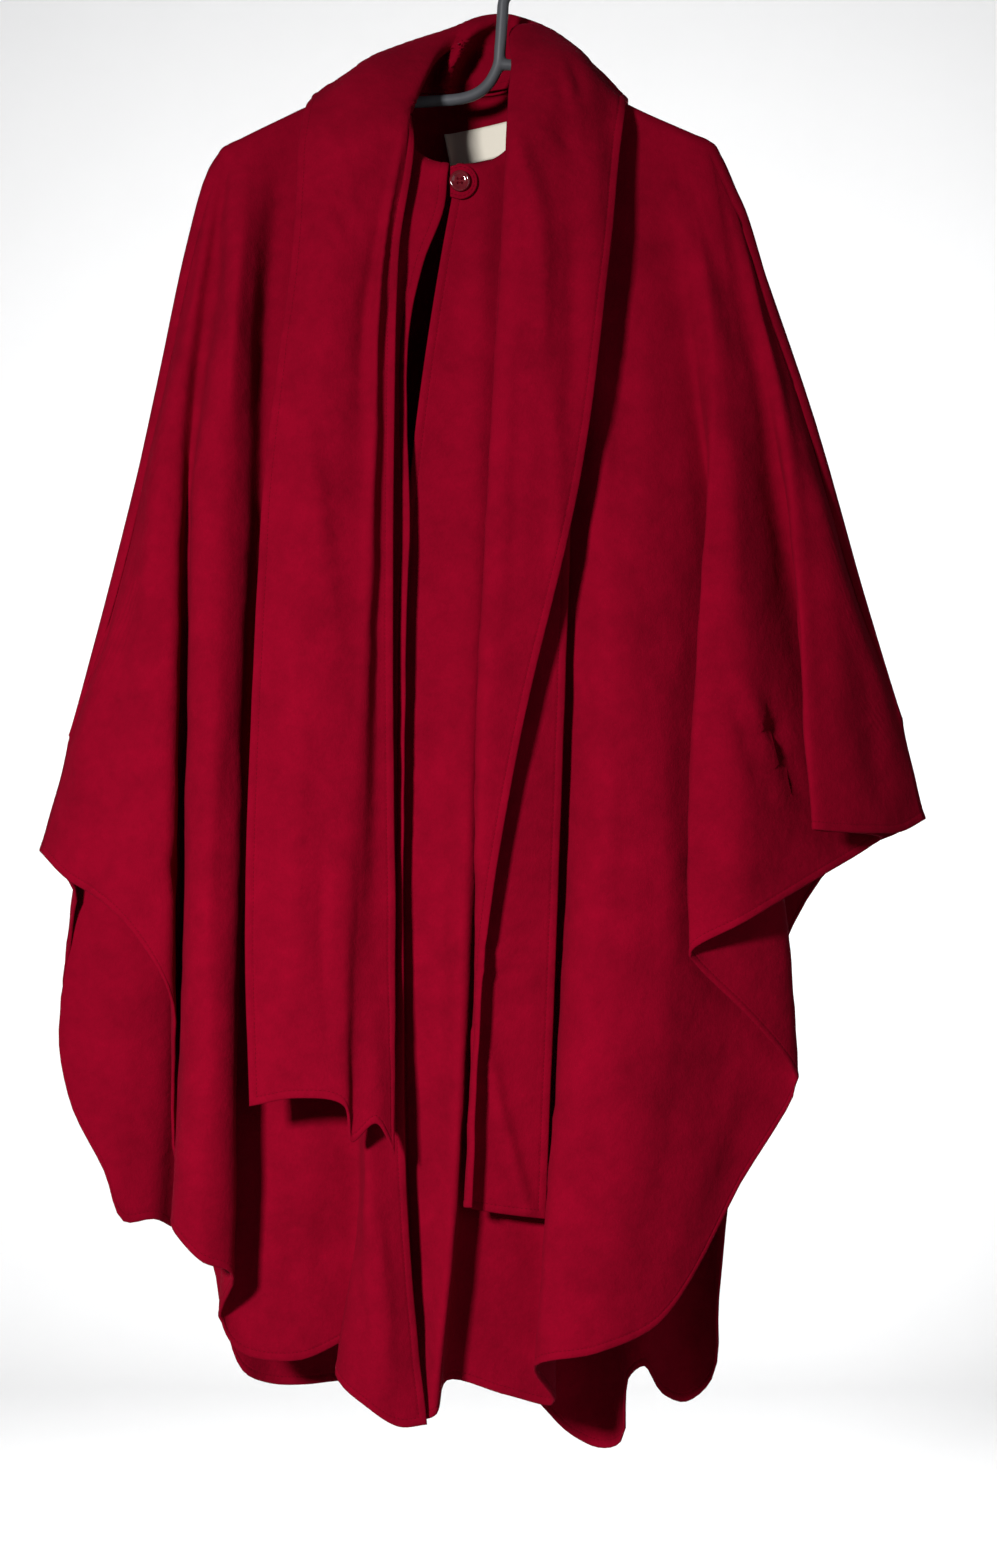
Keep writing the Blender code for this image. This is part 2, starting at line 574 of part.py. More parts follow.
def tab_and_button(fronts, cloth_look, button_look):
    """Tab that closes the neck, on both fronts, and the button on its round end."""
    centre_x, _, centre_z = place([BUTTON_X, TAB_DEPTH, BUTTON_Z])
    left_x = place([TAB_LEFT_X, TAB_DEPTH, BUTTON_Z])[0]
    turns = np.radians(np.linspace(90.0, -90.0, 13))
    outline = [
        (centre_x + TAB_ROUND * math.cos(t), centre_z + TAB_ROUND * math.sin(t)) for t in turns
    ]
    sewn = TAB_ROUND - TAB_TAPER
    outline += [(left_x, centre_z - sewn), (left_x, centre_z + sewn)]
    xs = np.linspace(left_x, centre_x + TAB_ROUND, 8)
    zs = np.linspace(centre_z - TAB_ROUND, centre_z + TAB_ROUND, 8)
    near = front_of(fronts, [(x, z) for x in xs for z in zs]) - 2 * SEAM_GAP
    plate("neck_tab", outline, near, TAB_THICK, cloth_look)
    rim = np.radians(np.arange(0.0, 360.0, 15.0))
    disc = [(centre_x + BUTTON_RADIUS * math.cos(t), centre_z + BUTTON_RADIUS * math.sin(t))
            for t in rim]
    plate("neck_button", disc, near - TAB_THICK - SEAM_GAP, BUTTON_THICK, button_look)


def build():
    """Model every piece."""
    wool = (0.16, 0.004, 0.014)
    cape_look = material("cape wool", wool, 0.9)
    scarf_look = material("scarf wool", wool, 0.9)
    button_look = material("button plastic", (0.10, 0.006, 0.010), 0.2)
    label_look = material("label tape", (0.75, 0.70, 0.60), 0.7)
    hanger_look = material("hanger plastic", (0.07, 0.07, 0.08), 0.45)

    left = sheet_grid(front_lines(FRONT_LEFT, LEFT_BENDS), -1, -1, 2)
    right = sheet_grid(front_lines(FRONT_RIGHT, RIGHT_BENDS), -1, 1, 2)
    back = sheet_grid(back_lines(), 1, 1, 1)
    back_sheet = walled("cape_back", back, CLOTH, cape_look, seamed=True)
    fronts = [
        walled("cape_front_left", left, CLOTH, cape_look, seamed=True),
        walled("cape_front_right", right, CLOTH, cape_look, seamed=True),
    ]

    walled("scarf_tail_left", tail_grid(LEFT_TAIL, LEFT_TAIL_Z, SCARF_ROWS, 2), CLOTH, scarf_look)
    walled("scarf_tail_right", tail_grid(RIGHT_TAIL, RIGHT_TAIL_Z, SCARF_ROWS, 2), CLOTH, scarf_look)
    walled("scarf_neck", collar_grid(3, 2), CLOTH, scarf_look)

    label_on(back_sheet, label_look)
    tab_and_button(fronts, cape_look, button_look)

    hanger = tube("hanger", hook_path(), HANGER_ROD, hanger_look)
    arm_path = through([(p.x, p.z) for p in RIGHT_SPUR] + arm_points(RIGHT_ARM_X), 2)
    arm = tube("hanger_right_arm_form", arm_path, RIGHT_ROD, hanger_look)
    arm.hide_render = True
    arm.display_type = "WIRE"
    union = hanger.modifiers.new("right arm", "BOOLEAN")
    union.operation = "UNION"
    union.object = arm


def main():
    for thing in list(bpy.data.objects):
        bpy.data.objects.remove(thing, do_unlink=True)
    build()


main()
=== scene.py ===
"""Wool cape with an attached scarf collar on a plastic clothes hanger, as a visual model.

The origin is the inner top of the hanger's hook, +X is the viewer's right, +Y points to the
back of the cape, and +Z is up. Tables are in millimetres, read from the front on the
hanger's plane, and place() moves their points to their own depth.
"""

import math
from collections import namedtuple

import bmesh
import bpy
import numpy as np
from bpy.props import FloatProperty, FloatVectorProperty
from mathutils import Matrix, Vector, noise
from mathutils.bvhtree import BVHTree


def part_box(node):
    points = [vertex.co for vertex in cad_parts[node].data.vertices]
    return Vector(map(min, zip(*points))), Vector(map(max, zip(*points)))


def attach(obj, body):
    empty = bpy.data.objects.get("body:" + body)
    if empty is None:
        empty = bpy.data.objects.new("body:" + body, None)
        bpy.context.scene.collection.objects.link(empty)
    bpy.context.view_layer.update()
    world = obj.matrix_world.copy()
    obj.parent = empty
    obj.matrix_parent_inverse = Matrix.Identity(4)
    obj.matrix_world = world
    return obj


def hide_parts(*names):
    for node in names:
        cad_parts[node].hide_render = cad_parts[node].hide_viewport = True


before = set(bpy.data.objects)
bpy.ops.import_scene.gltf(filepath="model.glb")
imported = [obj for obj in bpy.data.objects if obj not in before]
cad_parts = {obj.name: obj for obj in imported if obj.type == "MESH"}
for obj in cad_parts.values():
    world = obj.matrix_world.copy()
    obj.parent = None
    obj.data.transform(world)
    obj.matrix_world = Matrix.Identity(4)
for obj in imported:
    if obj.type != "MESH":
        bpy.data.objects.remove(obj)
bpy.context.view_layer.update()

bl_info = {
    "name": "Wool Cape on a Hanger",
    "version": (1, 0, 0),
    "blender": (4, 5, 0),
    "location": "View3D > Sidebar > Cape",
    "description": "Builds a hanging wool cape with a scarf collar, and its studio",
    "category": "Object",
}

# Cloth and seams
MM = 0.001
SEAM_GAP = 0.3          # clear gap where two pieces meet
ROLL = 8.0              # radius at which the cloth turns over the shoulder and the sides
CORNER_ROLL = 2.2       # the same at the side corners, where the edge lies flat

# The point that the front is read from: its distance in front of the hanger, and its place
VIEW_DISTANCE = 2400.0
VIEW_X = -1.0
VIEW_Z = -710.0

# Neck opening, an ellipse seen from above
NECK_X = -32.0          # middle of the neck opening
NECK_HALF_WIDTH = 72.0
NECK_FRONT_DEPTH = 50.0
NECK_BACK_DEPTH = 42.0
NECK_LEFT_Z = -121.0    # where the neckline meets the left shoulder
NECK_RIGHT_Z = -97.0    # where it meets the right shoulder
NECK_FRONT_Z = -182.0
NECK_BACK_Z = -122.0
NECK_POWER = 3.0        # how squarely the neckline drops from its sides to its middle
COLLAR_POWER = 2.0      # the same for the scarf's sewn edge in front, which rides higher
COLLAR_LAP = 22.0       # how far the scarf comes to lie on the fronts
COLLAR_LIFT = 1.9       # height of the scarf's sewn edge above the neckline
COLLAR_BULGE = 5.0      # how far its inner side sags below the crest

# Hanger
HANGER_ROD = 5.2        # radius of the round plastic section
RIGHT_ROD = 5.0         # radius of the right arm where it leaves the stem
ARM_DROP = 8.3          # how far the middle of an arm lies below the shoulder seam
HOOK_INNER = 15.0       # inner radius of the hook
HOOK_TIP = 205.0        # angle of its tip, in degrees
HOOK_TURN = 265.0       # how far it turns from there to the stem

# Button, tab and label
BUTTON_X = -35.0
BUTTON_Z = -196.0
TAB_LEFT_X = -43.4      # the end sewn to the edge of the left front
TAB_DEPTH = -64.0       # depth at which the tab and the button were measured
TAB_ROUND = 15.0        # radius of its free end, round the button
TAB_TAPER = 2.0         # by how much its sewn end is narrower, above and below
LABEL_THICK = 0.8
LABEL_DEPTH = 42.0      # depth at which the label was measured
LABEL_LEFT_X = -48.7
LABEL_WIDTH = 64.0
LABEL_HEIGHT = 29.0
LABEL_TOP_Z = -155.0
LABEL_TILT = 11.0       # turn in degrees, its right end up

LABEL_LIFT = 0.5        # clear gap between the label and the back
LABEL_CURL = 2.2        # how far its left end curls off the back
LABEL_BOW = 0.5         # how far its middle bows off the back
TAB_STITCH_IN = 2.6     # from the tab's edge to its stitches
HOLE_OUT = 1.7          # from the button's middle to a hole's, across and up
HOLE_RADIUS = 0.95
THREAD_OUT = 2.7        # how far the button's threads lie in front of its back
THREAD_RADIUS = 0.45
THREAD_SIDES = 8
ROD_SIDES = 20

# Radius and depth of the button's turned outline, from its back over the raised rim
BUTTON_PROFILE = [
    (8.2, 0.0), (9.0, -0.7), (9.0, -2.3), (8.6, -3.3), (7.6, -3.9), (6.6, -3.8),
    (5.8, -3.1), (5.0, -2.7), (3.0, -2.55), (0.6, -2.5),
]

# Rings of a round-ended thread: how far along it, where its ends lie at 0 and 1 and a step
# past them is a radius, and the ring's share of the radius
CAPSULE_STOPS = [(-1.0, 0.35), (-0.6, 0.8), (0.0, 1.0), (1.0, 1.0), (1.6, 0.8), (2.0, 0.35)]

BUTTON_DARK = (0.05, 0.002, 0.004)
LABEL_DARK = (0.60, 0.54, 0.43)
LABEL_LIGHT = (0.82, 0.77, 0.67)

# Studio, in metres, degrees and watts
FLOOR_Z = -2.1
WALL_Y = 5.0
WALL_TOP = 4.0
BEND_RADIUS = 1.2       # of the paper, from the floor up the wall
STAGE_HALF = 6.0        # half the width of the paper, and how far it reaches in front
LIT_POINT = (-0.05, 0.0, -1.05)
KEY_PLACE = (-1.22, -2.35, -0.12)
KEY_SPREAD = 82.0
FILL_PLACE = (2.2, -2.4, -0.4)
WALL_POWER = 240.0
WORLD_STRENGTH = 0.09
CAMERA_PLACE = (-0.0013, -2.4, -0.7095)

# Shares of the height at which a fold line has its stations
STATIONS = (0.3, 0.6, 0.85, 1.0)


def records(kind, *rows):
    """Rows of a table as records of one kind."""
    return [kind(*row) for row in rows]


# Seams of the shoulders and the sides, from the neckline down to the side corners
Point = namedtuple("Point", "x z")
LEFT_SEAM = records(
    Point, (-104, -121), (-140, -125), (-167, -132), (-211, -153), (-241, -168), (-254, -188),
    (-261, -212), (-283, -291), (-300, -387), (-326, -500), (-361, -631), (-401, -780),
)
RIGHT_SEAM = records(
    Point, (40, -97), (80, -114), (124, -137), (175, -159), (186, -164), (193, -177),
    (217, -231), (237, -300), (280, -424), (319, -566), (349, -665), (370, -753),
)

# Fold lines of the front sheets. Stations 1 to 3 lie at 0.3, 0.6 and 0.85 of the height
# between the seam and the hem, and the depth y is negative towards the viewer.
Fold = namedtuple("Fold", "name start_x x1 y1 x2 y2 x3 y3 hem_x hem_y hem_z")
FRONT_LEFT = records(
    Fold,
    ("front edge", -44, -79, -60, -84, -62, -79, -74, -64, -78, -1279),
    ("edge flank", -58, -92, -54, -98, -54, -95, -80, -88, -86, -1281),
    ("centre ridge", -72, -112, -50, -118, -50, -114, -84, -112, -88, -1267),
    ("centre ridge, far side", -86, -135, -46, -138, -44, -119, -60, -143, -62, -1236),
    ("valley right", -102, -150, -42, -150, -36, -124, -34, -126, -34, -1203),
    ("valley floor", -135, -168, -44, -175, -42, -170, -40, -175, -40, -1223),
    ("valley left", -165, -190, -42, -204, -38, -220, -34, -226, -34, -1216),
    ("foot of side ridge", -190, -208, -40, -218, -34, -238, -36, -243, -42, -1190),
    ("side ridge right", -212, -222, -60, -228, -76, -232, -82, -233, -82, -1148),
    ("side ridge", -224, -242, -72, -250, -90, -254, -97, -260, -95, -1137),
    ("side ridge left", -234, -261, -62, -269, -76, -275, -80, -284, -76, -1110),
    ("tuck valley", -241, -264, -40, -273, -32, -278, -29, -281, -29, -1085),
    ("tuck fold", -247, -270, -34, -281, -28, -285, -28, -285, -31, -1000),
    ("side panel fold", -253, -277, -42, -284, -58, -287, -68, -287, -72, -907),
    ("side panel 1", -272, -292, -44, -305, -58, -313, -67, -318, -71, -853),
    ("side panel 2", -308, -322, -34, -334, -47, -343, -54, -347, -56, -823),
    ("side panel 3", -345, -358, -22, -367, -30, -374, -35, -378, -34, -803),
    ("side corner", -374, -381.0, -2, -389.2, -2, -396.2, -2, -400.4, -2, -780),
)
FRONT_RIGHT = records(
    Fold,
    ("front edge", -38, -84, -42, -90, -42, -84, -46, -74, -50, -1268),
    ("edge strip", -28, -45, -46, -52, -54, -59, -62, -68, -64, -1274),
    ("edge ridge", -16, -20, -54, -30, -70, -42, -78, -58, -74, -1272),
    ("edge ridge, far side", -5, 0, -46, -14, -44, -30, -42, -46, -40, -1240),
    ("valley floor", 6, 25, -42, 20, -38, 8, -36, 5, -34, -1253),
    ("valley right", 18, 46, -42, 48, -38, 42, -36, 46, -36, -1262),
    ("main panel left", 29, 66, -50, 68, -66, 46, -86, 31, -90, -1228),
    ("main panel ridge", 46, 92, -60, 98, -84, 90, -102, 84, -104, -1217),
    ("main panel middle", 85, 128, -54, 138, -74, 142, -88, 140, -84, -1189),
    ("main panel right", 118, 155, -42, 182, -44, 200, -44, 209, -42, -1070),
    ("main panel fold", 138, 172, -32, 214, -24, 250, -22, 258, -24, -985),
    ("tuck fold", 146, 176, -34, 214, -33, 248, -33, 254, -35, -970),
    ("tuck", 156, 178, -40, 204, -48, 218, -58, 214, -62, -922),
    ("second panel inner fold", 165, 181, -47, 178, -64, 172, -76, 172, -80, -880),
    ("second panel outer fold", 172, 186, -52, 174, -73, 165, -86, 166, -90, -868),
    ("second panel middle", 181, 197, -50, 206, -74, 208, -92, 212, -94, -842),
    ("second panel right", 187, 213, -38, 238, -44, 256, -52, 272, -56, -806),
    ("side tuck", 192, 221, -29, 255, -22, 297, -17, 322, -16, -776),
    ("side tuck fold", 197, 228, -27, 265, -25, 304, -29, 332, -30, -768),
    ("side panel inner fold", 205, 237, -32, 258, -48, 268, -68, 275, -75, -762),
    ("side panel outer fold", 214, 245, -35, 260, -56, 268, -78, 274, -86, -761),
    ("side panel 1", 236, 262, -34, 278, -54, 290, -70, 297, -76, -763),
    ("side panel 2", 270, 288, -34, 303, -46, 316, -54, 324, -56, -764),
    ("side panel 3", 315, 327, -22, 337, -28, 344, -30, 349, -30, -763),
    ("side corner", 349, 354.4, -2, 361, -2, 366, -2, 369.8, -2, -752),
)

# Where a fold line bends near its top: an extra station at a share of its height
Bend = namedtuple("Bend", "name share x y")
LEFT_BENDS = records(
    Bend, ("front edge", 0.025, -48, -58), ("front edge", 0.07, -66, -56),
    ("edge flank", 0.025, -62, -56), ("edge flank", 0.07, -78, -52),
    ("centre ridge", 0.07, -92, -54), ("valley left", 0.12, -184, -22),
    ("foot of side ridge", 0.12, -202, -23), ("side ridge right", 0.12, -216, -44),
    ("side ridge", 0.12, -229, -56), ("side ridge left", 0.12, -239, -48),
)
RIGHT_BENDS = records(Bend, ("front edge", 0.07, -52, -52), ("edge strip", 0.07, -34, -52))

# Fold lines of the back sheet, from the left corner to the right one
BackFold = namedtuple("BackFold", "start_x hem_x hem_y hem_z")
BACK = records(
    BackFold, (-374, -400.6, 2, -780), (-364, -371, 18, -815), (-355, -374, 34, -852),
    (-341, -380, 42, -895), (-322, -384, 44, -950), (-296, -372, 35, -1005),
    (-272, -345, 25, -1058), (-253, -328, 24, -1102), (-238, -302, 30, -1100),
    (-226, -284, 52, -1108), (-214, -258, 60, -1120), (-198, -240, 36, -1190),
    (-180, -224, 40, -1232), (-160, -200, 58, -1243), (-142, -170, 66, -1244),
    (-124, -142, 50, -1241), (-110, -118, 34, -1240), (-99, -106, 40, -1245),
    (-88, -88, 48, -1250), (-70, -62, 62, -1245), (-48, -35, 55, -1235), (-26, -8, 38, -1235),
    (-6, 18, 38, -1245), (14, 40, 58, -1266), (32, 62, 78, -1288), (54, 86, 84, -1299),
    (78, 105, 66, -1294), (98, 110, 38, -1240), (118, 126, 32, -1228), (136, 142, 52, -1252),
    (154, 162, 70, -1259), (170, 184, 58, -1240), (182, 190, 36, -1170), (191, 204, 30, -1050),
    (204, 224, 46, -960), (232, 246, 56, -865), (274, 294, 42, -788), (320, 342, 22, -766),
    (349, 369.8, 2, -752),
)

# Scarf tails: a row is a lengthwise edge or fold of the strip, read at its stations. The
# strip is folded along its length, and the rows run from the edge of the under layer,
# over the fold to the edge of the upper layer.
LEFT_TAIL_Z = (-152, -260, -420, -620, -860)
RIGHT_TAIL_Z = (-152, -265, -450, -690, -880)
Strip = namedtuple("Strip", "name x0 y0 x1 y1 x2 y2 x3 y3 x4 y4 end_x end_y end_z")
LEFT_TAIL = records(
    Strip,
    ("under edge", -76, -60, -88, -68, -92, -72, -93, -72, -91, -74, -92, -94, -1044),
    ("under fold", -79, -63, -97, -68, -103, -72, -107, -74, -110, -80, -108, -100, -1017),
    ("rolled ridge", -82, -67, -102, -77, -109, -83, -116, -87, -124, -88, -129, -102, -1033),
    ("crest", -87, -68, -110, -75, -118, -81, -127, -89, -135, -96, -137, -108, -1001),
    ("upper middle", -128, -66, -146, -80, -158, -88, -168, -94, -174, -98, -176, -108, -995),
    ("upper edge", -174, -40, -181, -62, -202, -72, -215, -84, -222, -92, -218, -100, -1002),
)
RIGHT_TAIL = records(
    Strip,
    ("under edge", 34, -53, 60, -60, 62, -66, 55, -66, 48, -62, 40, -60, -1100),
    ("under middle", 21, -57, 30, -64, 28, -72, 18, -76, 12, -68, 5, -64, -1096),
    ("under fold", 11, -60, 7, -68, -2, -77, -12, -81, -13, -72, -21, -68, -1092),
    ("crest", 7, -66, 1, -76, -9, -86, -20, -89, -21, -79, -30, -75, -1090),
    ("upper middle", 16, -73, 14, -85, 4, -95, -14, -97, -20, -86, -29, -82, -1090),
    ("upper edge", 107, -38, 95, -70, 71, -88, 16, -96, -14, -90, -24, -85, -1090),
)

# Scarf round the neck, from the left tail behind the neck to the right tail: the angle of
# its seam on the neckline (0 is the back, 90 the right shoulder), how far the inner side
# leans into the neck, the crest of the roll, and the middle and the free edge of the part
# that falls outwards
Collar = namedtuple(
    "Collar",
    "seam_angle lean crest_x crest_y crest_z middle_x middle_y middle_z edge_x edge_y edge_z",
)
COLLAR = records(
    Collar,
    (250, 6, -66, -32, -104, -112, -26, -97, -166, -12, -126),
    (285, 7, -49, 8, -75, -96, 24, -82, -142, 36, -130),
    (328, 7, -22, 35, -56, -52, 54, -82, -78, 72, -165),
    (5, 7, 6, 42, -52, 12, 64, -84, 5, 82, -178),
    (42, 5, 28, 34, -60, 62, 50, -81, 80, 68, -160),
    (75, 1, 11, 11, -64, 62, 18, -78, 110, 26, -132),
    (104, 1, 11, -28, -96, 60, -28, -92, 110, -10, -126),
    (124, 1, 9, -50, -128, 58, -52, -122, 109, -26, -136),
)

# Hanger: centre line of the stem, which sweeps into the left arm, and of the spur that
# starts the right arm. The arms follow the shoulder seams at the given x.
STEM = records(
    Point, (10.1, -32.5), (7, -34.3), (4.1, -37.2), (3, -41.5), (2.2, -52), (0, -83), (-1, -94),
    (-5, -104), (-11, -113), (-20, -120), (-33, -124.5), (-60, -127),
)
RIGHT_SPUR = records(Point, (-1, -95), (14, -96), (40, -107.5))
LEFT_ARM_X = (-104, -140, -167, -211, -230)
RIGHT_ARM_X = (80, 124, 172, 178)

# Creases: a soft ridge, or a trough where the height is negative, along a path
Crease = namedtuple("Crease", "x0 z0 x1 z1 x2 z2 width height")
LEFT_CREASES = records(
    Crease,
    (-336, -700, -318, -712, -296, -720, 7, 2.6),
    (-346, -812, -330, -800, -312, -796, 6, 3),
    (-186, -1100, -180, -1150, -178, -1215, 8, -3),
    (-304, -492, -331, -596, -350, -718, 13.6, -3.5),
    (-278, -326, -296, -448, -313, -561, 11.9, 2.9),
    (-248, -239, -242, -326, -237, -448, 5.95, -3.2),
    (-339, -826, -355, -787, -362, -735, 10.2, 3.5),
    (-278, -779, -296, -813, -318, -844, 8.5, -3.2),
    (-264, -405, -257, -526, -261, -648, 6.8, 2.6),
    (-226, -648, -239, -753, -249, -874, 10.2, -3.2),
    (-183, -1066, -196, -1135, -207, -1205, 13.6, 3.8),
    (-148, -1074, -158, -1153, -164, -1205, 8.5, -2.9),
    (-111, -1083, -101, -1161, -94, -1257, 6.8, 3.2),
    (-125, -1135, -118, -1196, -117, -1257, 5.95, -2.6),
)
RIGHT_CREASES = records(
    Crease,
    (150, -176, 188, -262, 216, -372, 15, -7),
    (96, -250, 104, -400, 100, -560, 15, -5),
    (218, -640, 232, -690, 250, -745, 6, 7),
    (228, -634, 243, -690, 262, -740, 6, -7),
    (192, -623, 214, -678, 244, -749, 11, -5.4),
    (214, -671, 230, -676, 247, -673, 6.8, -4.2),
    (168, -776, 177, -798, 188, -822, 7.65, -3.8),
    (192, -782, 209, -794, 226, -807, 6.8, 3.5),
    (139, -187, 165, -248, 179, -318, 11.9, 3.2),
    (122, -265, 129, -405, 122, -526, 13.6, 2.6),
    (96, -596, 106, -753, 100, -892, 12.8, -3.5),
    (130, -648, 146, -787, 143, -927, 11.9, 3.8),
    (78, -822, 74, -961, 61, -1118, 10.2, 3.5),
    (165, -892, 153, -1014, 129, -1135, 13.6, -4.2),
    (209, -961, 188, -1031, 165, -1101, 10.2, 3.8),
    (223, -413, 240, -509, 252, -605, 10.2, -3.2),
    (278, -492, 291, -596, 300, -718, 11.9, 3.2),
    (313, -596, 324, -666, 331, -744, 10.2, -2.9),
    (198, -413, 202, -492, 198, -579, 10.2, 2.9),
    (-66, -579, -70, -735, -71, -892, 5.95, 2.6),
    (-44, -474, -49, -648, -54, -822, 7.65, -2.2),
    (17, -648, 12, -822, 7, -996, 11.9, 2.2),
    (35, -1014, 52, -1135, 65, -1240, 10.2, 2.6),
)
SCARF_CREASES = records(
    Crease,
    (-150, -110, -140, -160, -134, -215, 12, -4.5),
    (-96, -200, -116, -300, -124, -420, 7, -4.5),
    (92, -110, 98, -170, 92, -240, 10, -4),
    (15, -160, 30, -235, 39, -345, 4.5, 5.0),
    (47, -94, 56, -130, 64, -176, 4.5, -4.5),
    (-165, -185, -142, -218, -123, -251, 7.65, -4.8),
    (-183, -326, -165, -433, -141, -605, 8.5, 4.8),
    (-79, -270, -97, -308, -102, -358, 5.95, -3.5),
    (-148, -144, -135, -187, -129, -231, 8.5, 3.2),
    (-200, -492, -195, -596, -187, -718, 10.2, -2.9),
    (-174, -648, -177, -787, -172, -918, 10.2, 3.2),
    (-152, -753, -155, -857, -148, -961, 6.8, -2.9),
    (16, -162, 36, -227, 39, -344, 6.8, 5.4),
    (39, -344, 50, -448, 48, -561, 7.65, 4.2),
    (40, -131, 53, -155, 64, -176, 5.1, -4.2),
    (58, -87, 69, -109, 71, -126, 5.95, -4.2),
    (87, -144, 84, -239, 77, -335, 10.2, 3.8),
    (61, -213, 64, -318, 59, -413, 7.65, -4.2),
    (17, -300, 14, -439, 10, -579, 7.65, -2.9),
    (-17, -857, -3, -867, 17, -864, 5.1, 2.9),
    (-19, -881, 0, -888, 24, -883, 4.25, -2.9),
    (-12, -944, 5, -1023, 32, -1114, 5.95, 4.2),
)
BACK_CREASES = records(
    Crease,
    (-120, -240, -150, -420, -170, -640, 15.3, 3.5),
    (-40, -260, -60, -520, -52, -800, 17, -3.8),
    (30, -220, 60, -430, 66, -700, 13.6, 3.2),
    (110, -260, 120, -500, 140, -760, 12.8, -2.9),
    (-200, -420, -240, -640, -262, -850, 14.4, -3.2),
    (180, -420, 200, -600, 214, -760, 11.9, 3.2),
    (-10, -900, 6, -1060, 20, -1210, 13.6, 3.8),
    (-300, -620, -322, -760, -340, -900, 11.9, 2.9),
    (-96, -860, -104, -1000, -100, -1150, 11, -3.2),
)

# Grid of the cloth
ROLL_ROWS = 6
SHEET_ROWS = 96
FRONT_STEPS = 6
BACK_STEPS = 4
SCARF_ACROSS = (12, 12, 12, 10, 14)
SCARF_STEP = 5.5        # length of a grid cell along the scarf

# Distances from a finished edge, and the thickness of the cloth there, as a share of the
# plain cloth. The edge is turned in once and stitched down.
EDGE_AT = (0.0, 0.5, 1.6, 4.0, 6.3, 7.1, 7.9, 9.5, 14.0)
EDGE_THICKNESS = (0.45, 0.95, 1.3, 1.35, 1.15, 0.7, 1.05, 1.0, 1.0)
STITCH_AT = 7.1
CORNER_OUT = 0.9        # how far the side edges stand out below the end of the seam
END_REACH = 0.6         # share of a curve that is searched for the grid lines at its end
HEM_REACH = 0.3         # share of a fold line below which the grid lines of its hem lie
ROW_SPREAD = 1.15       # how strongly the rows of the grid spread towards the hem
HOLD_ROWS = 8.0         # rows below the roll in which creases and unevenness set in
CREASE_STEPS = 16
LONG_WAVE = 85.0        # lengths of the waves of the unevenness
SHORT_WAVE = 30.0

# Folds inside the left and the back of the neck, where the scarf's crest lies further back
# than this y and higher than this z, and the direction in which they stand out
INNER_FOLD_Y = -30.0
INNER_FOLD_Z = -110.0
INNER_FOLD_WAY = np.array([0.1, -0.99, 0.0])
INNER_FOLDS = records(
    Crease,
    (6, -53, -24, -66, -44, -98, 5.5, 15.0),
    (-30, -71, -45, -97, -54, -140, 6.5, 26.0),
    (0, -70, -22, -90, -36, -124, 7, -5.0),
)


def spline(knots, values, at):
    """Smooth curve through values at increasing knots, read at the given positions."""
    knots = np.asarray(knots, float)
    values = np.asarray(values, float)
    at = np.asarray(at, float)
    steps = np.diff(knots)
    slopes = np.diff(values, axis=0) / steps[:, None]
    tangents = np.empty_like(values)
    tangents[0] = slopes[0]
    tangents[-1] = slopes[-1]
    before = steps[:-1, None]
    after = steps[1:, None]
    tangents[1:-1] = (slopes[:-1] * after + slopes[1:] * before) / (before + after)
    span = np.clip(np.searchsorted(knots, at, side="right") - 1, 0, len(steps) - 1)
    width = steps[span]
    part = ((at - knots[span]) / width)[:, None]
    width = width[:, None]
    first = (1 + 2 * part) * (1 - part) ** 2 * values[span]
    last = part ** 2 * (3 - 2 * part) * values[span + 1]
    bend = part * (1 - part) ** 2 * tangents[span] - part ** 2 * (1 - part) * tangents[span + 1]
    return first + last + bend * width


def place(points):
    """Move points read from the front on the hanger's plane to their own depth."""
    moved = np.array(points, float)
    scale = 1.0 + moved[..., 1] / VIEW_DISTANCE
    moved[..., 0] = VIEW_X + (moved[..., 0] - VIEW_X) * scale
    moved[..., 2] = VIEW_Z + (moved[..., 2] - VIEW_Z) * scale
    return moved


def neck_point(x, face, power=NECK_POWER):
    """Point of the neckline at x, on the front (face -1) or the back (face 1)."""
    across = np.clip((x - NECK_X) / NECK_HALF_WIDTH, -1.0, 1.0)
    out = math.sqrt(1.0 - across ** 2)
    side_z = NECK_LEFT_Z if across < 0 else NECK_RIGHT_Z
    middle_z = NECK_FRONT_Z if face < 0 else NECK_BACK_Z
    height = side_z + (middle_z - side_z) * (1.0 - abs(across) ** power)
    depth = NECK_FRONT_DEPTH if face < 0 else NECK_BACK_DEPTH
    return np.array([x, face * depth * out, height])


def seam_point(x, face):
    """Start of a fold line: on the neckline, the shoulder or the side, whichever x meets."""
    if LEFT_SEAM[0].x < x < RIGHT_SEAM[0].x:
        point = neck_point(x, face)
    else:
        seam = LEFT_SEAM if x <= LEFT_SEAM[0].x else RIGHT_SEAM
        xs = [abs(p.x) for p in seam]
        z = np.interp(abs(x), xs, [p.z for p in seam])
        point = np.array([x, 0.0, z])
    point[1] += face * SEAM_GAP / 2
    return point


def seam_normals(starts, side):
    """Directions in the XZ plane that point from the seam into the sheet."""
    flat = np.array(starts)[:, [0, 2]]
    tangents = np.gradient(flat, axis=0)
    normals = np.stack([tangents[:, 1], -tangents[:, 0]], axis=1) * side
    return normals / np.linalg.norm(normals, axis=1)[:, None]


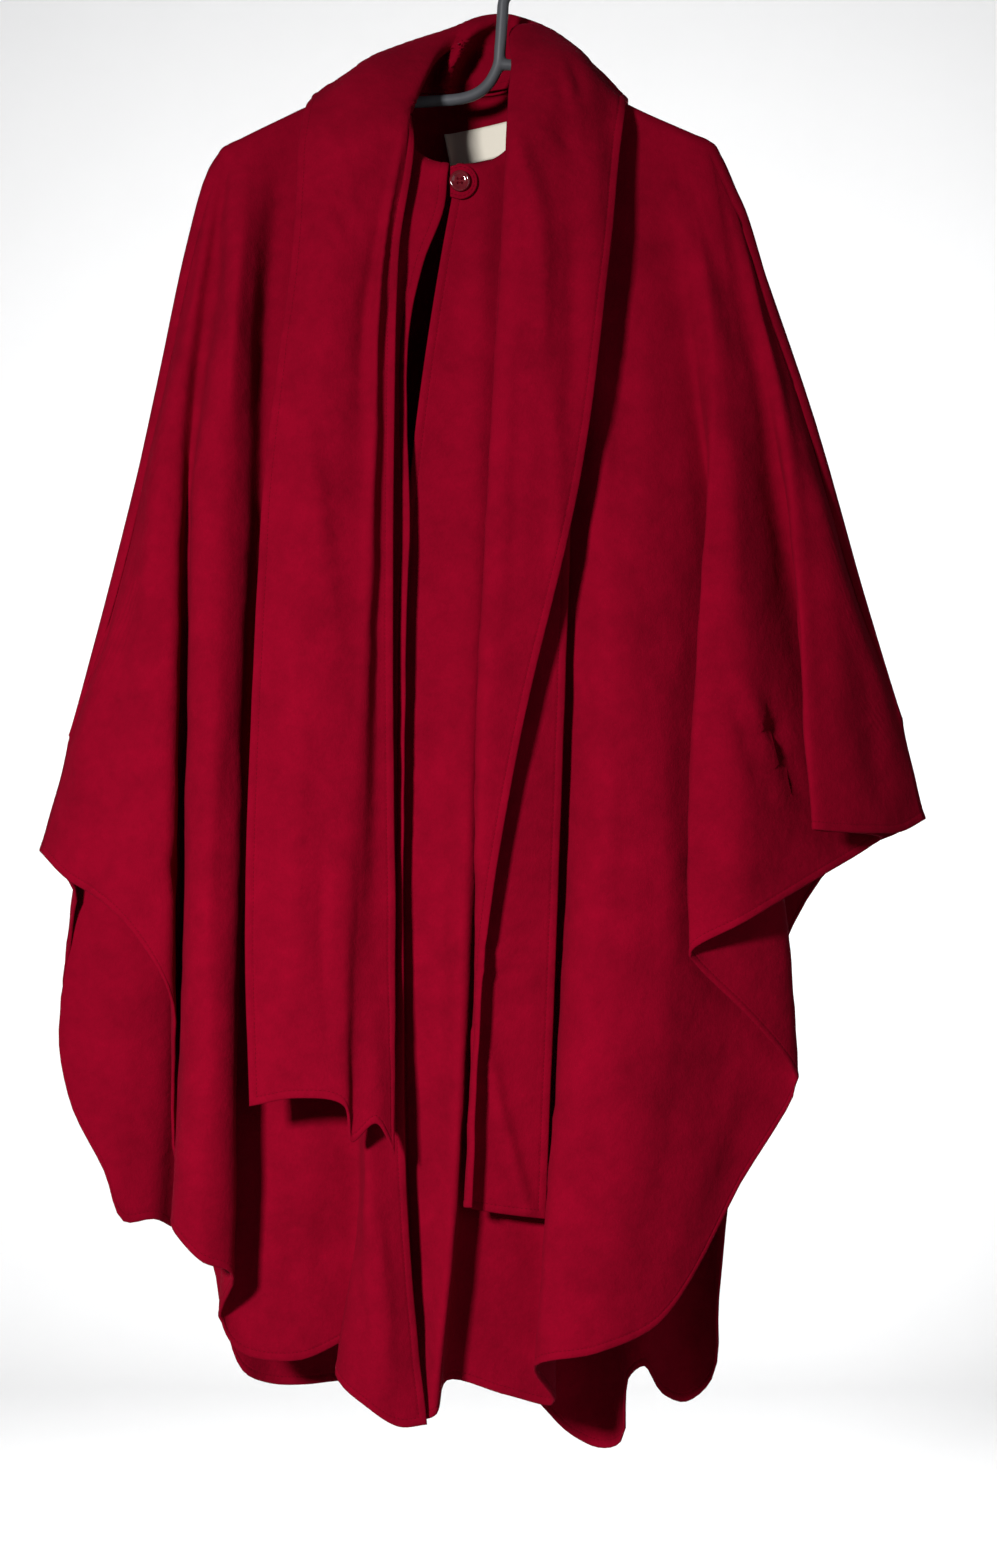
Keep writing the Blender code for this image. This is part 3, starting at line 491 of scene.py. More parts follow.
def front_lines(table, bends):
    """Start, stations and roll of each fold line of a front sheet.

    A station is its share of the height and its point.
    """
    lines = []
    for fold in table:
        start = seam_point(fold.start_x, -1)
        roll = CORNER_ROLL if fold is table[-1] else ROLL
        top_z = start[2] - roll
        places = [(bend.share, bend.x, bend.y) for bend in bends if bend.name == fold.name]
        places += zip(
            STATIONS,
            (fold.x1, fold.x2, fold.x3, fold.hem_x),
            (fold.y1, fold.y2, fold.y3, fold.hem_y),
        )
        stations = [(t, x, y, top_z + (fold.hem_z - top_z) * t) for t, x, y in places]
        lines.append((start, stations, roll))
    return lines


def back_lines():
    """Start, stations and roll of each fold line of the back sheet."""
    lines = []
    for fold in BACK:
        start = seam_point(fold.start_x, 1)
        roll = CORNER_ROLL if fold in (BACK[0], BACK[-1]) else ROLL
        top = np.array([start[0], start[1] + roll, start[2] - roll])
        hem = np.array([fold.hem_x, fold.hem_y, fold.hem_z])
        stations = []
        for t in STATIONS:
            point = top + (hem - top) * t
            point[1] = top[1] + (hem[1] - top[1]) * t ** 0.8
            stations.append((t, *point))
        lines.append((start, stations, roll))
    return lines


def grid_tangents(grid):
    """Direction along the first axis of a grid, halfway between the steps before and after."""
    steps = np.diff(grid, axis=0)
    steps /= np.linalg.norm(steps, axis=2)[..., None] + 1e-12
    return np.concatenate([steps[:1], steps[1:] + steps[:-1], steps[-1:]])


def grid_normals(grid):
    """Unit normals of a grid of points."""
    down = grid_tangents(grid)
    across = grid_tangents(grid.transpose(1, 0, 2)).transpose(1, 0, 2)
    normals = np.cross(down, across)
    return normals / (np.linalg.norm(normals, axis=2)[..., None] + 1e-12)


def run_along(line):
    """Distance of each point of a line from its start, along the line."""
    return np.concatenate([[0.0], np.cumsum(np.linalg.norm(np.diff(line, axis=0), axis=1))])


def spans(points):
    """Knots of a smooth curve through points, from the square roots of its chords."""
    chords = np.sqrt(np.linalg.norm(np.diff(points, axis=0), axis=1)) + 1e-6
    return np.concatenate([[0.0], np.cumsum(chords)])


def near_end(knots, points, distances, backwards):
    """Positions on a curve at given distances from one of its ends."""
    reach = np.linspace(0.0, END_REACH, 240) * knots[-1]
    dense = knots[-1] - reach if backwards else reach
    found = np.interp(distances, run_along(spline(knots, points, dense)), dense)
    return found[::-1] if backwards else found


def sample(points, steps, first=(), last=()):
    """Points along a smooth curve: some steps in each span, and some distances from its ends."""
    points = np.asarray(points, float)
    knots = spans(points)
    whole = [
        knots[i] + (knots[i + 1] - knots[i]) * k / steps[i]
        for i in range(len(steps)) for k in range(steps[i])
    ]
    whole = np.array(whole + [knots[-1]]) / knots[-1]
    head = near_end(knots, points, first, False) if len(first) else np.array([])
    tail = near_end(knots, points, last, True) if len(last) else np.array([])
    low = head[-1] if len(first) else 0.0
    high = tail[0] if len(last) else knots[-1]
    body = low + whole * (high - low)
    body = body[(1 if len(first) else 0):(-1 if len(last) else None)]
    return spline(knots, points, np.concatenate([head, body, tail]))


def end_distances(count, first=(), last=()):
    """Distance of each of count grid lines from a finished edge; far ones are infinite."""
    out = np.full(count, np.inf)
    out[:len(first)] = first
    if len(last):
        out[count - len(last):] = last[::-1]
    return out


def edge_thickness(row_at, column_at, cloth):
    """Thickness of the cloth over a grid, from the distances to its finished edges."""
    nearest = np.minimum(row_at[:, None], column_at[None, :])
    return cloth * np.interp(nearest, EDGE_AT, EDGE_THICKNESS)


def sheet_of(lines, face, side, per_span, front_edge):
    """Fine grid of one cape sheet, with its roll over the seam and its finished hem."""
    starts = [start for start, _, _ in lines]
    normals = seam_normals(starts, side)
    turns = [math.radians(90.0) * k / ROLL_ROWS for k in range(ROLL_ROWS + 1)]
    columns = []
    for (start, stations, roll), normal in zip(lines, normals):
        column = []
        for turn in turns:
            inward = roll * (1.0 - math.cos(turn))
            if roll == CORNER_ROLL:
                inward = -CORNER_OUT * math.sin(turn)
            x = start[0] + normal[0] * inward
            z = start[2] + normal[1] * inward
            column.append([x, start[1] + face * roll * math.sin(turn), z])
        shares = [0.0] + [station[0] for station in stations]
        knots = [column[-1]] + [list(station[1:]) for station in stations]
        dense = np.linspace(1.0, HEM_REACH, 400)
        hem = np.interp(EDGE_AT, run_along(spline(shares, knots, dense)), dense)[::-1]
        body = np.linspace(0.0, 1.0, SHEET_ROWS + 1)[1:-1] ** ROW_SPREAD * hem[0]
        column.extend(spline(shares, knots, np.concatenate([body, hem])).tolist())
        columns.append(column)
    rows = np.array(columns).transpose(1, 0, 2)
    steps = [per_span] * (len(lines) - 1)
    first = EDGE_AT if front_edge else ()
    grid = np.array([sample(row, steps, first) for row in rows])
    for k, turn in enumerate(turns):
        least = SEAM_GAP / 2 + CORNER_ROLL * math.sin(turn)
        grid[k, :, 1] = face * np.maximum(face * grid[k, :, 1], least)
    row_at = end_distances(grid.shape[0], (), EDGE_AT)
    column_at = end_distances(grid.shape[1], first)
    return grid, row_at, column_at


def crease_swell(flat, crease):
    """Height of one crease over a grid of x and z."""
    path = np.array([(crease.x0, crease.z0), (crease.x1, crease.z1), (crease.x2, crease.z2)])
    path = spline(spans(path), path, np.linspace(0.0, spans(path)[-1], CREASE_STEPS + 1))
    gap = np.linalg.norm(flat[:, :, None, :] - path[None, None], axis=3)
    along = gap.argmin(axis=2) / CREASE_STEPS
    swell = np.sin(math.pi * np.clip(along, 0.03, 0.97)) ** 0.7
    return crease.height * swell * np.exp(-(gap.min(axis=2) / crease.width) ** 2)


def soften(grid, table, amount, seed, hold):
    """Add creases from a table and a slight unevenness, along the sheet's own normals.

    hold is the share of the movement that each grid row takes.
    """
    normals = grid_normals(grid)
    towards = np.where(normals[..., 1:2] > 0, -1.0, 1.0)
    normals = normals * towards
    flat = grid[..., [0, 2]]
    move = np.zeros(grid.shape[:2])
    for crease in table:
        move += crease_swell(flat, crease)
    for (i, j), _ in np.ndenumerate(move):
        p = Vector(grid[i, j]) + Vector((seed, 0.0, 0.0))
        long_wave = noise.noise(p / LONG_WAVE)
        short_wave = noise.noise(p / SHORT_WAVE + Vector((0.0, seed, 0.0)))
        move[i, j] += amount * (1.4 * long_wave + 0.8 * short_wave)
    return grid + normals * (move * hold[:, None])[..., None]


def linked(name, data):
    """New object with a mesh, lamp or camera, in the scene."""
    thing = bpy.data.objects.new(name, data)
    bpy.context.scene.collection.objects.link(thing)
    return thing


def outwards(mesh):
    """Turn the faces of a closed mesh outwards."""
    work = bmesh.new()
    work.from_mesh(mesh)
    bmesh.ops.recalc_face_normals(work, faces=work.faces)
    work.to_mesh(mesh)
    work.free()


def shell(name, grid, thickness, look, seamed=False):
    """Closed cloth sheet with its thickness half on each side of the grid, in metres."""
    rows, columns = grid.shape[:2]
    normals = grid_normals(grid)
    if seamed:
        normals[0, :, 1] = 0.0
        normals[0] /= np.linalg.norm(normals[0], axis=1)[:, None]
    half = (thickness / 2)[..., None]
    outer = (grid + normals * half).reshape(-1, 3)
    inner = (grid - normals * half).reshape(-1, 3)
    count = rows * columns
    index = np.arange(count).reshape(rows, columns)
    quads = np.stack(
        [index[:-1, :-1], index[1:, :-1], index[1:, 1:], index[:-1, 1:]], axis=-1
    ).reshape(-1, 4)
    rim = np.concatenate([index[0, :], index[1:, -1], index[-1, -2::-1], index[-2:0:-1, 0]])
    after = np.roll(rim, -1)
    walls = np.stack([rim, after, after + count, rim + count], axis=-1)
    faces = np.concatenate([quads, count + quads[:, ::-1], walls])
    mesh = bpy.data.meshes.new(name)
    points = np.concatenate([outer, inner]) * MM
    mesh.from_pydata(points.tolist(), [], faces.tolist())
    across = np.linalg.norm(np.diff(grid, axis=1), axis=2).mean(axis=0)
    down = np.linalg.norm(np.diff(grid, axis=0), axis=2)
    u = np.broadcast_to(np.concatenate([[0.0], np.cumsum(across)]), (rows, columns))
    v = np.concatenate([np.zeros((1, columns)), np.cumsum(down, axis=0)])
    uv = np.stack([u.reshape(-1), -v.reshape(-1)], axis=-1) * MM
    uv = np.concatenate([uv, uv])
    layer = mesh.uv_layers.new(name="cloth")
    layer.data.foreach_set("uv", uv[faces.reshape(-1)].reshape(-1))
    mesh.validate()
    outwards(mesh)
    mesh.shade_smooth()
    mesh.materials.append(look)
    return linked(name, mesh)


def plain_object(name, points, faces):
    """Object from points in metres, its faces outwards."""
    mesh = bpy.data.meshes.new(name)
    mesh.from_pydata(points, [], faces)
    outwards(mesh)
    return linked(name, mesh)


def round_steps(sides):
    """Angles of the corners of a ring."""
    return [2 * math.pi * k / sides for k in range(sides)]


def closed_tube(name, rings):
    """Solid through rings of points in millimetres, its two ends closed."""
    sides = len(rings[0])
    points = [tuple(c * MM for c in point) for ring in rings for point in ring]
    faces = []
    for first in range(0, len(points) - sides, sides):
        for k in range(sides):
            n = (k + 1) % sides
            faces.append((first + k, first + n, first + sides + n, first + sides + k))
    faces.append(tuple(range(sides)))
    faces.append(tuple(reversed(range(len(points) - sides, len(points)))))
    return plain_object(name, points, faces)


def turned(name, profile, centre, sides):
    """Solid turned round an axis along Y, from a profile of radius and depth."""
    x, y, z = centre
    return closed_tube(name, [
        [(x + r * math.cos(t), y + depth, z + r * math.sin(t)) for t in round_steps(sides)]
        for r, depth in profile
    ])


def capsule(name, start, end, radius):
    """Short thread from start to end, in millimetres, with round ends."""
    start, end = np.array(start, float), np.array(end, float)
    along = (end - start) / np.linalg.norm(end - start)
    across = np.cross(along, (0.0, 1.0, 0.0))
    up = np.cross(across, along)
    rings = []
    for stop, share in CAPSULE_STOPS:
        base = start + (end - start) * np.clip(stop, 0.0, 1.0)
        base = base + along * radius * (min(stop, 0.0) + max(stop - 1.0, 0.0))
        rings.append([
            base + (across * math.cos(t) + up * math.sin(t)) * radius * share
            for t in round_steps(THREAD_SIDES)
        ])
    return closed_tube(name, rings)


def rod(name, path, radius):
    """Closed round rod along a path in the XZ plane, in millimetres."""
    path = np.asarray(path, float)
    tangents = np.gradient(path, axis=0)
    tangents /= np.linalg.norm(tangents, axis=1)[:, None]
    circle = [(radius * math.cos(t), radius * math.sin(t)) for t in round_steps(ROD_SIDES)]
    return closed_tube(name, [
        [(x - tz * out, depth, z + tx * out) for out, depth in circle]
        for (x, z), (tx, tz) in zip(path, tangents)
    ])


def baked(thing, look):
    """Plain mesh object with a thing's modifiers applied, in its place."""
    graph = bpy.context.evaluated_depsgraph_get()
    mesh = bpy.data.meshes.new_from_object(thing.evaluated_get(graph))
    name = thing.name
    bpy.data.objects.remove(thing, do_unlink=True)
    mesh.shade_smooth()
    if not mesh.materials:
        mesh.materials.append(look)
    return linked(name, mesh)


def round_edges(thing, width, segments, angle):
    """Round the edges that are sharper than an angle in degrees."""
    bevel = thing.modifiers.new("soft edge", "BEVEL")
    bevel.width = width
    bevel.segments = segments
    bevel.limit_method = "ANGLE"
    bevel.angle_limit = math.radians(angle)


def carry(thing, slot, *nodes):
    """Fix a piece to the one body and hide the parts of its nodes, which it replaces. The slot is
    not used.
    """
    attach(thing, "root")
    if nodes:
        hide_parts(*nodes)


def scarf_sections():
    """Sections of the whole scarf, from the left end, round the neck, to the right end."""
    left = [strip_section(LEFT_TAIL, LEFT_TAIL_Z, k) for k in range(6)]
    right = [strip_section(RIGHT_TAIL, RIGHT_TAIL_Z, k) for k in range(6)]
    return left[::-1] + [collar_section(c) for c in COLLAR] + right


def strip_section(strips, station_z, k):
    """Points across a scarf tail at station k; the last one is its end."""
    if k < len(station_z):
        return [np.array([s[1 + 2 * k], s[2 + 2 * k], station_z[k]], float) for s in strips]
    return [np.array([s.end_x, s.end_y, s.end_z], float) for s in strips]


def collar_section(c):
    """Points across the scarf at one section round the neck."""
    angle = math.radians(c.seam_angle)
    seam_x = NECK_X + NECK_HALF_WIDTH * math.sin(angle)
    face = 1 if math.cos(angle) > 0 else -1
    seam = neck_point(seam_x, face, NECK_POWER if face > 0 else COLLAR_POWER)
    crest = np.array([c.crest_x, c.crest_y, c.crest_z], float)
    towards = np.array([NECK_X - crest[0], -crest[1], 0.0])
    towards /= np.linalg.norm(towards)
    on_front = max(0.0, -math.cos(angle)) * COLLAR_LAP
    lower = seam + np.array([0.0, -on_front, COLLAR_LIFT])
    sag = np.array([0.0, 0.0, -COLLAR_BULGE])
    inner = crest + (lower - crest) / 4 + towards * c.lean + sag
    wall = (crest + lower) / 2 + towards * c.lean / 2
    middle = np.array([c.middle_x, c.middle_y, c.middle_z], float)
    edge = np.array([c.edge_x, c.edge_y, c.edge_z], float)
    return [lower, wall, inner, crest, middle, edge]


def scarf_of():
    """Fine grid of the whole scarf, a row for each section along it."""
    sections = np.array(scarf_sections())
    chords = np.linalg.norm(np.diff(sections, axis=0), axis=2).mean(axis=1)
    steps = [max(2, round(chord / SCARF_STEP)) for chord in chords]
    lines = [sample(sections[:, k], steps, EDGE_AT, EDGE_AT) for k in range(6)]
    rows = np.array(lines).transpose(1, 0, 2)
    grid = np.array([sample(row, SCARF_ACROSS, EDGE_AT, EDGE_AT) for row in rows])
    crest = len(EDGE_AT) + sum(SCARF_ACROSS[:3]) - 1
    further_back = grid[:, crest, 1] > INNER_FOLD_Y
    behind = np.flatnonzero(further_back & (grid[:, crest, 2] > INNER_FOLD_Z))
    for fold in INNER_FOLDS:
        inside = grid[behind, :crest]
        swell = crease_swell(inside[..., [0, 2]], fold)
        grid[behind, :crest] = inside + swell[..., None] * INNER_FOLD_WAY
    row_at = end_distances(grid.shape[0], EDGE_AT, EDGE_AT)
    column_at = end_distances(grid.shape[1], EDGE_AT, EDGE_AT)
    return grid, row_at, column_at


def stitch_lines(grid, thickness, row_at, column_at, skip_rows):
    """Lines of topstitching just inside the finished edges, on both faces of the cloth."""
    normals = grid_normals(grid)
    rows = np.flatnonzero(row_at == STITCH_AT)
    columns = np.flatnonzero(column_at == STITCH_AT)
    inside_rows = np.flatnonzero(row_at >= STITCH_AT)
    inside_rows = inside_rows[inside_rows >= skip_rows]
    inside_columns = np.flatnonzero(column_at >= STITCH_AT)
    lines = []
    for side in (1, -1):
        face = grid + normals * (side * thickness / 2)[..., None]
        lines += [face[r, inside_columns] for r in rows]
        lines += [face[inside_rows, c] for c in columns]
    return lines


def lines_object(name, lines):
    """Mesh of bare edges along some lines, in metres."""
    points = []
    edges = []
    for line in lines:
        first = len(points)
        points += [tuple(p * MM) for p in line]
        edges += [(first + k, first + k + 1) for k in range(len(line) - 1)]
    mesh = bpy.data.meshes.new(name)
    mesh.from_pydata(points, edges, [])
    return linked(name, mesh)


STITCH_NODES = {
    "given": "NodeGroupInput", "curve": "GeometryNodeMeshToCurve",
    "points": "GeometryNodeCurveToPoints", "ball": "GeometryNodeMeshUVSphere",
    "turn": "FunctionNodeAlignRotationToVector", "size": "ShaderNodeCombineXYZ",
    "placed": "GeometryNodeInstanceOnPoints", "real": "GeometryNodeRealizeInstances",
    "paint": "GeometryNodeSetMaterial", "result": "NodeGroupOutput",
}
STITCH_LINKS = (
    "given.Lines > curve.Mesh", "curve.Curve > points.Curve", "given.Spacing > points.Length",
    "points.Tangent > turn.Vector", "given.Length > size.X", "given.Radius > size.Y",
    "given.Radius > size.Z", "points.Points > placed.Points", "ball.Mesh > placed.Instance",
    "turn.Rotation > placed.Rotation", "size.Vector > placed.Scale",
    "placed.Instances > real.Geometry", "real.Geometry > paint.Geometry",
    "paint.Geometry > result.Stitches",
)


def stitch_tree(look):
    """Node group that lays short stitches along the edges it is given."""
    tree = bpy.data.node_groups.new("Topstitching", "GeometryNodeTree")
    face = tree.interface
    face.new_socket("Lines", in_out="INPUT", socket_type="NodeSocketGeometry")
    for label in ("Spacing", "Length", "Radius"):
        face.new_socket(label, in_out="INPUT", socket_type="NodeSocketFloat")
    face.new_socket("Stitches", in_out="OUTPUT", socket_type="NodeSocketGeometry")
    nodes = {label: tree.nodes.new(kind) for label, kind in STITCH_NODES.items()}
    nodes["points"].mode = "LENGTH"
    nodes["turn"].axis = "X"
    for label, value in (("Segments", 6), ("Rings", 3), ("Radius", 0.5)):
        nodes["ball"].inputs[label].default_value = value
    nodes["paint"].inputs["Material"].default_value = look
    for wire in STITCH_LINKS:
        (start, out), (end, into) = (side.split(".") for side in wire.split(" > "))
        tree.links.new(nodes[start].outputs[out], nodes[end].inputs[into])
    return tree


def set_input(modifier, label, value):
    """Set a node group's input by its label."""
    for item in modifier.node_group.interface.items_tree:
        if item.item_type == "SOCKET" and item.in_out == "INPUT" and item.name == label:
            modifier[item.identifier] = value
            return
    raise RuntimeError(f"the node group has no input {label}")


def stitches(name, lines, sizes, slot):
    """Stitches along some lines, as a plain mesh on the row's one body."""
    look = bpy.data.materials["scene thread"]
    tree = bpy.data.node_groups.get("Topstitching") or stitch_tree(look)
    source = lines_object(name, lines)
    modifier = source.modifiers.new("stitches", "NODES")
    modifier.node_group = tree
    set_input(modifier, "Spacing", sizes.stitch_spacing)
    set_input(modifier, "Length", sizes.stitch_length)
    set_input(modifier, "Radius", sizes.thread)
    made = baked(source, look)
    carry(made, slot)
    return made


class Value:
    """A shader value that adds Math nodes when it is worked with."""

    def __init__(self, tree, socket):
        self.tree = tree
        self.socket = socket

    def math(self, operation, other, swapped=False):
        node = self.tree.nodes.new("ShaderNodeMath")
        node.operation = operation
        for slot, value in zip(node.inputs, (other, self) if swapped else (self, other)):
            if isinstance(value, Value):
                self.tree.links.new(value.socket, slot)
            else:
                slot.default_value = value
        return Value(self.tree, node.outputs[0])

    def __add__(self, other):
        return self.math("ADD", other)

    def __radd__(self, other):
        return self.math("ADD", other, True)

    def __sub__(self, other):
        return self.math("SUBTRACT", other)

    def __rsub__(self, other):
        return self.math("SUBTRACT", other, True)

    def __mul__(self, other):
        return self.math("MULTIPLY", other)

    def __rmul__(self, other):
        return self.math("MULTIPLY", other, True)


class Look:
    """A Principled material and the few calls that build its nodes."""

    def __init__(self, name, **constants):
        self.material = bpy.data.materials.new(name)
        self.material.use_nodes = True
        self.tree = self.material.node_tree
        self.shader = self.tree.nodes["Principled BSDF"]
        for label, value in constants.items():
            self.feed(label, value)

    def node(self, kind, settings=None, **values):
        """New node with its settings made first, then the values or links of its sockets."""
        made = self.tree.nodes.new(kind)
        for label, value in (settings or {}).items():
            setattr(made, label, value)
        for label, value in values.items():
            self.set(made.inputs[label.replace("_", " ")], value)
        return made

    def set(self, slot, value):
        """Give a socket a value or a link."""
        if isinstance(value, Value):
            value = value.socket
        if isinstance(value, bpy.types.NodeSocket):
            self.tree.links.new(value, slot)
        else:
            slot.default_value = value

    def feed(self, label, value):
        """Give one of the shader's own sockets a value or a link."""
        self.set(self.shader.inputs[label.replace("_", " ")], value)

    def place(self, scale=(1.0, 1.0, 1.0), uv=False):
        """Object coordinates, or the cloth's own, scaled."""
        if uv:
            source = self.node("ShaderNodeUVMap", {"uv_map": "cloth"}).outputs["UV"]
        else:
            source = self.node("ShaderNodeTexCoord").outputs["Object"]
        return self.node("ShaderNodeMapping", Vector=source, Scale=scale).outputs["Vector"]

    def grain(self, place, scale, detail=2.0, roughness=0.5):
        """Noise from 0 to 1."""
        made = self.node(
            "ShaderNodeTexNoise", Vector=place, Scale=scale, Detail=detail, Roughness=roughness
        )
        return Value(self.tree, made.outputs[0])

    def blend(self, dark, light, share):
        """Colour between two others, on the shader."""
        mix = self.node("ShaderNodeMix", {"data_type": "RGBA"})
        self.set(mix.inputs[0], share)
        self.set(mix.inputs[6], (*dark, 1.0))
        self.set(mix.inputs[7], (*light, 1.0))
        self.feed("Base Color", mix.outputs[2])

    def relief(self, height, strength, depth, under=None):
        """Bump from a height, over another one or alone, on the shader's normal."""
        bump = self.node("ShaderNodeBump", Height=height, Strength=strength, Distance=depth)
        if under is not None:
            self.set(bump.inputs["Normal"], under)
        self.feed("Normal", bump.outputs["Normal"])
        return bump.outputs["Normal"]


def shade(colour, factor):
    """A colour made darker or lighter."""
    return tuple(c * factor for c in colour)


def wool_look(name, colour, sizes, uv):
    """Matt brushed wool: fine nap, short streaks along the cloth and broad, soft blotches."""
    look = Look(
        name, Roughness=0.95, Sheen_Weight=0.05, Sheen_Roughness=0.5,
        Sheen_Tint=(1.0, 0.03, 0.12, 1.0), Specular_IOR_Level=0.03,
    )
    where = look.place()
    along = look.place((1.0, 0.5, 1.0), True) if uv else look.place((1.0, 1.0, 0.5))
    nap = look.grain(where, 1500.0, 3.0)
    streaks = look.grain(along, 620.0)
    brushed = look.grain(where, 95.0, 4.0, 0.62)
    blotches = look.grain(where, 26.0, 5.0, 0.62)
    mean = 0.2 * nap + 0.15 * streaks + 0.2 * brushed + 0.45 * blotches
    share = 0.5 + sizes.mottle * (mean - 0.5)
    look.blend(shade(colour, 0.55), shade(colour, 1.45), share)
    soft = look.relief(0.6 * brushed + 0.4 * blotches, sizes.nap, 0.004)
    look.relief(0.5 * streaks + 0.5 * nap, sizes.nap, 0.0009, soft)


def make_looks(sizes):
    """Make all the materials of the model."""
    wool_look("scene wool", sizes.wool, sizes, True)
    wool_look("scene tab wool", sizes.wool, sizes, False)

    thread = Look("scene thread", Roughness=0.9, Specular_IOR_Level=0.05)
    tone = thread.grain(thread.place(), 2500.0)
    thread.blend(shade(sizes.wool, 0.35), shade(sizes.wool, 0.8), tone)

    button = Look("scene button", Roughness=0.12, Coat_Weight=0.35, Coat_Roughness=0.05)
    button.blend(BUTTON_DARK, sizes.button, button.grain(button.place(), 180.0, 3.0))

    label = Look("scene label", Roughness=0.62)
    wave = label.node(
        "ShaderNodeTexWave", {"bands_direction": "DIAGONAL"},
        Vector=label.place(), Scale=620.0, Distortion=0.4,
    )
    weave = Value(label.tree, wave.outputs[1])
    label.blend(LABEL_DARK, LABEL_LIGHT, weave)
    label.relief(weave, 0.25, 0.0003)

    hanger = Look("scene hanger", Roughness=0.4, Specular_IOR_Level=0.4)
    fine = hanger.grain(hanger.place(), 1200.0, 2.0)
    scuffs = hanger.grain(hanger.place((1.0, 1.0, 0.2)), 90.0, 4.0)
    hanger.blend(shade(sizes.plastic, 0.85), shade(sizes.plastic, 1.15), scuffs)
    hanger.feed("Roughness", 0.34 + 0.14 * scuffs)
    hanger.relief(fine, 0.08, 0.0003)


def length(name, text, default, low, high):
    """Property for a length in metres."""
    return FloatProperty(name=name, description=text, default=default, min=low, max=high,
                         precision=4, unit="LENGTH")


def number(name, text, default, low, high):
    """Property for a plain number."""
    return FloatProperty(name=name, description=text, default=default, min=low, max=high)


def colour(name, text, default):
    """Property for a colour."""
    return FloatVectorProperty(name=name, description=text, default=default,
                               subtype="COLOR", size=3, min=0.0, max=1.0)


class CapeSizes(bpy.types.PropertyGroup):
    """Sizes and colours of the cape"""

    cloth: length("Cloth thickness", "Thickness of the plain wool", 0.002, 0.001, 0.003)
    uneven: length("Unevenness", "Height of the soft waves in the cloth", 0.0015, 0.0, 0.003)
    stitch_spacing: length("Stitch spacing", "From one topstitch to the next",
                           0.0036, 0.002, 0.008)
    stitch_length: length("Stitch length", "Length of one topstitch", 0.0028, 0.001, 0.006)
    thread: length("Thread thickness", "Thickness of the sewing thread", 0.0006, 0.0002, 0.001)
    nap: number("Nap", "Strength of the relief of the wool's nap", 0.4, 0.0, 1.0)
    mottle: number("Mottle", "How strongly the wool's colour varies", 1.6, 0.0, 6.0)
    wool: colour("Wool colour", "Colour of the cape and the scarf", (0.17, 0.0006, 0.0095))
    button: colour("Button colour", "Colour of the button", (0.16, 0.008, 0.015))
    plastic: colour("Hanger colour", "Colour of the hanger", (0.075, 0.077, 0.085))


class StudioSizes(bpy.types.PropertyGroup):
    """Camera, lights and backdrop"""

    lens: number("Lens", "Focal length on a 36 mm high picture, in millimetres",
                 64.4, 20.0, 200.0)
    key_power: number("Key power", "Power of the key light in watts", 23.0, 0.0, 1000.0)
    key_size: length("Key size", "Side of the key light", 0.3, 0.01, 5.0)
    fill_power: number("Fill power", "Power of the fill light in watts", 10.0, 0.0, 1000.0)
    backdrop: colour("Backdrop colour", "Colour of the floor and the wall", (0.8, 0.8, 0.8))


class CAPE_OT_looks(bpy.types.Operator):
    """Make the procedural materials"""
    bl_idname = "cape.looks"
    bl_label = "Materials"

    def execute(self, context):
        make_looks(context.scene.cape_sizes)
        return {"FINISHED"}


def cape_sheet(name, node, sheet, seed, creases, sizes):
    """One sheet of the cape, its creases and its topstitching."""
    grid, row_at, column_at = sheet
    hold = np.clip((np.arange(grid.shape[0]) - ROLL_ROWS) / HOLD_ROWS, 0.0, 1.0)
    grid = place(soften(grid, creases, sizes.uneven / MM, seed, hold))
    thickness = edge_thickness(row_at, column_at, sizes.cloth / MM)
    thing = shell(name, grid, thickness, bpy.data.materials["scene wool"], seamed=True)
    lines = stitch_lines(grid, thickness, row_at, column_at, ROLL_ROWS + 2)
    sewn = stitches(name + "_stitches", lines, sizes, "cape_wool")
    carry(thing, "cape_wool", node)


class CAPE_OT_sheets(bpy.types.Operator):
    """Make the back and the two fronts of the cape, with their topstitching"""
    bl_idname = "cape.sheets"
    bl_label = "Back and fronts"

    def execute(self, context):
        sizes = context.scene.cape_sizes
        left = sheet_of(front_lines(FRONT_LEFT, LEFT_BENDS), -1, -1, FRONT_STEPS, True)
        cape_sheet("left_front_cloth", "cape_front_left", left, 11.0, LEFT_CREASES,
                   sizes)
        right = sheet_of(front_lines(FRONT_RIGHT, RIGHT_BENDS), -1, 1, FRONT_STEPS, True)
        cape_sheet("right_front_cloth", "cape_front_right", right, 37.0, RIGHT_CREASES,
                   sizes)
        back = sheet_of(back_lines(), 1, 1, BACK_STEPS, False)
        cape_sheet("back_cloth", "cape_back", back, 71.0, BACK_CREASES, sizes)
        return {"FINISHED"}


class CAPE_OT_scarf(bpy.types.Operator):
    """Make the scarf, round the neck and in its two tails, with its topstitching"""
    bl_idname = "cape.scarf"
    bl_label = "Scarf"

    def execute(self, context):
        sizes = context.scene.cape_sizes
        grid, row_at, column_at = scarf_of()
        hold = np.ones(grid.shape[0])
        grid = place(soften(grid, SCARF_CREASES, sizes.uneven / MM, 5.0, hold))
        thickness = edge_thickness(row_at, column_at, sizes.cloth / MM)
        scarf = shell("scarf_cloth", grid, thickness, bpy.data.materials["scene wool"])
        lines = stitch_lines(grid, thickness, row_at, column_at, 0)
        sewn = stitches("scarf_stitches", lines, sizes, "scarf_wool")
        carry(scarf, "scarf_wool", "scarf_neck", "scarf_tail_left", "scarf_tail_right")
        return {"FINISHED"}


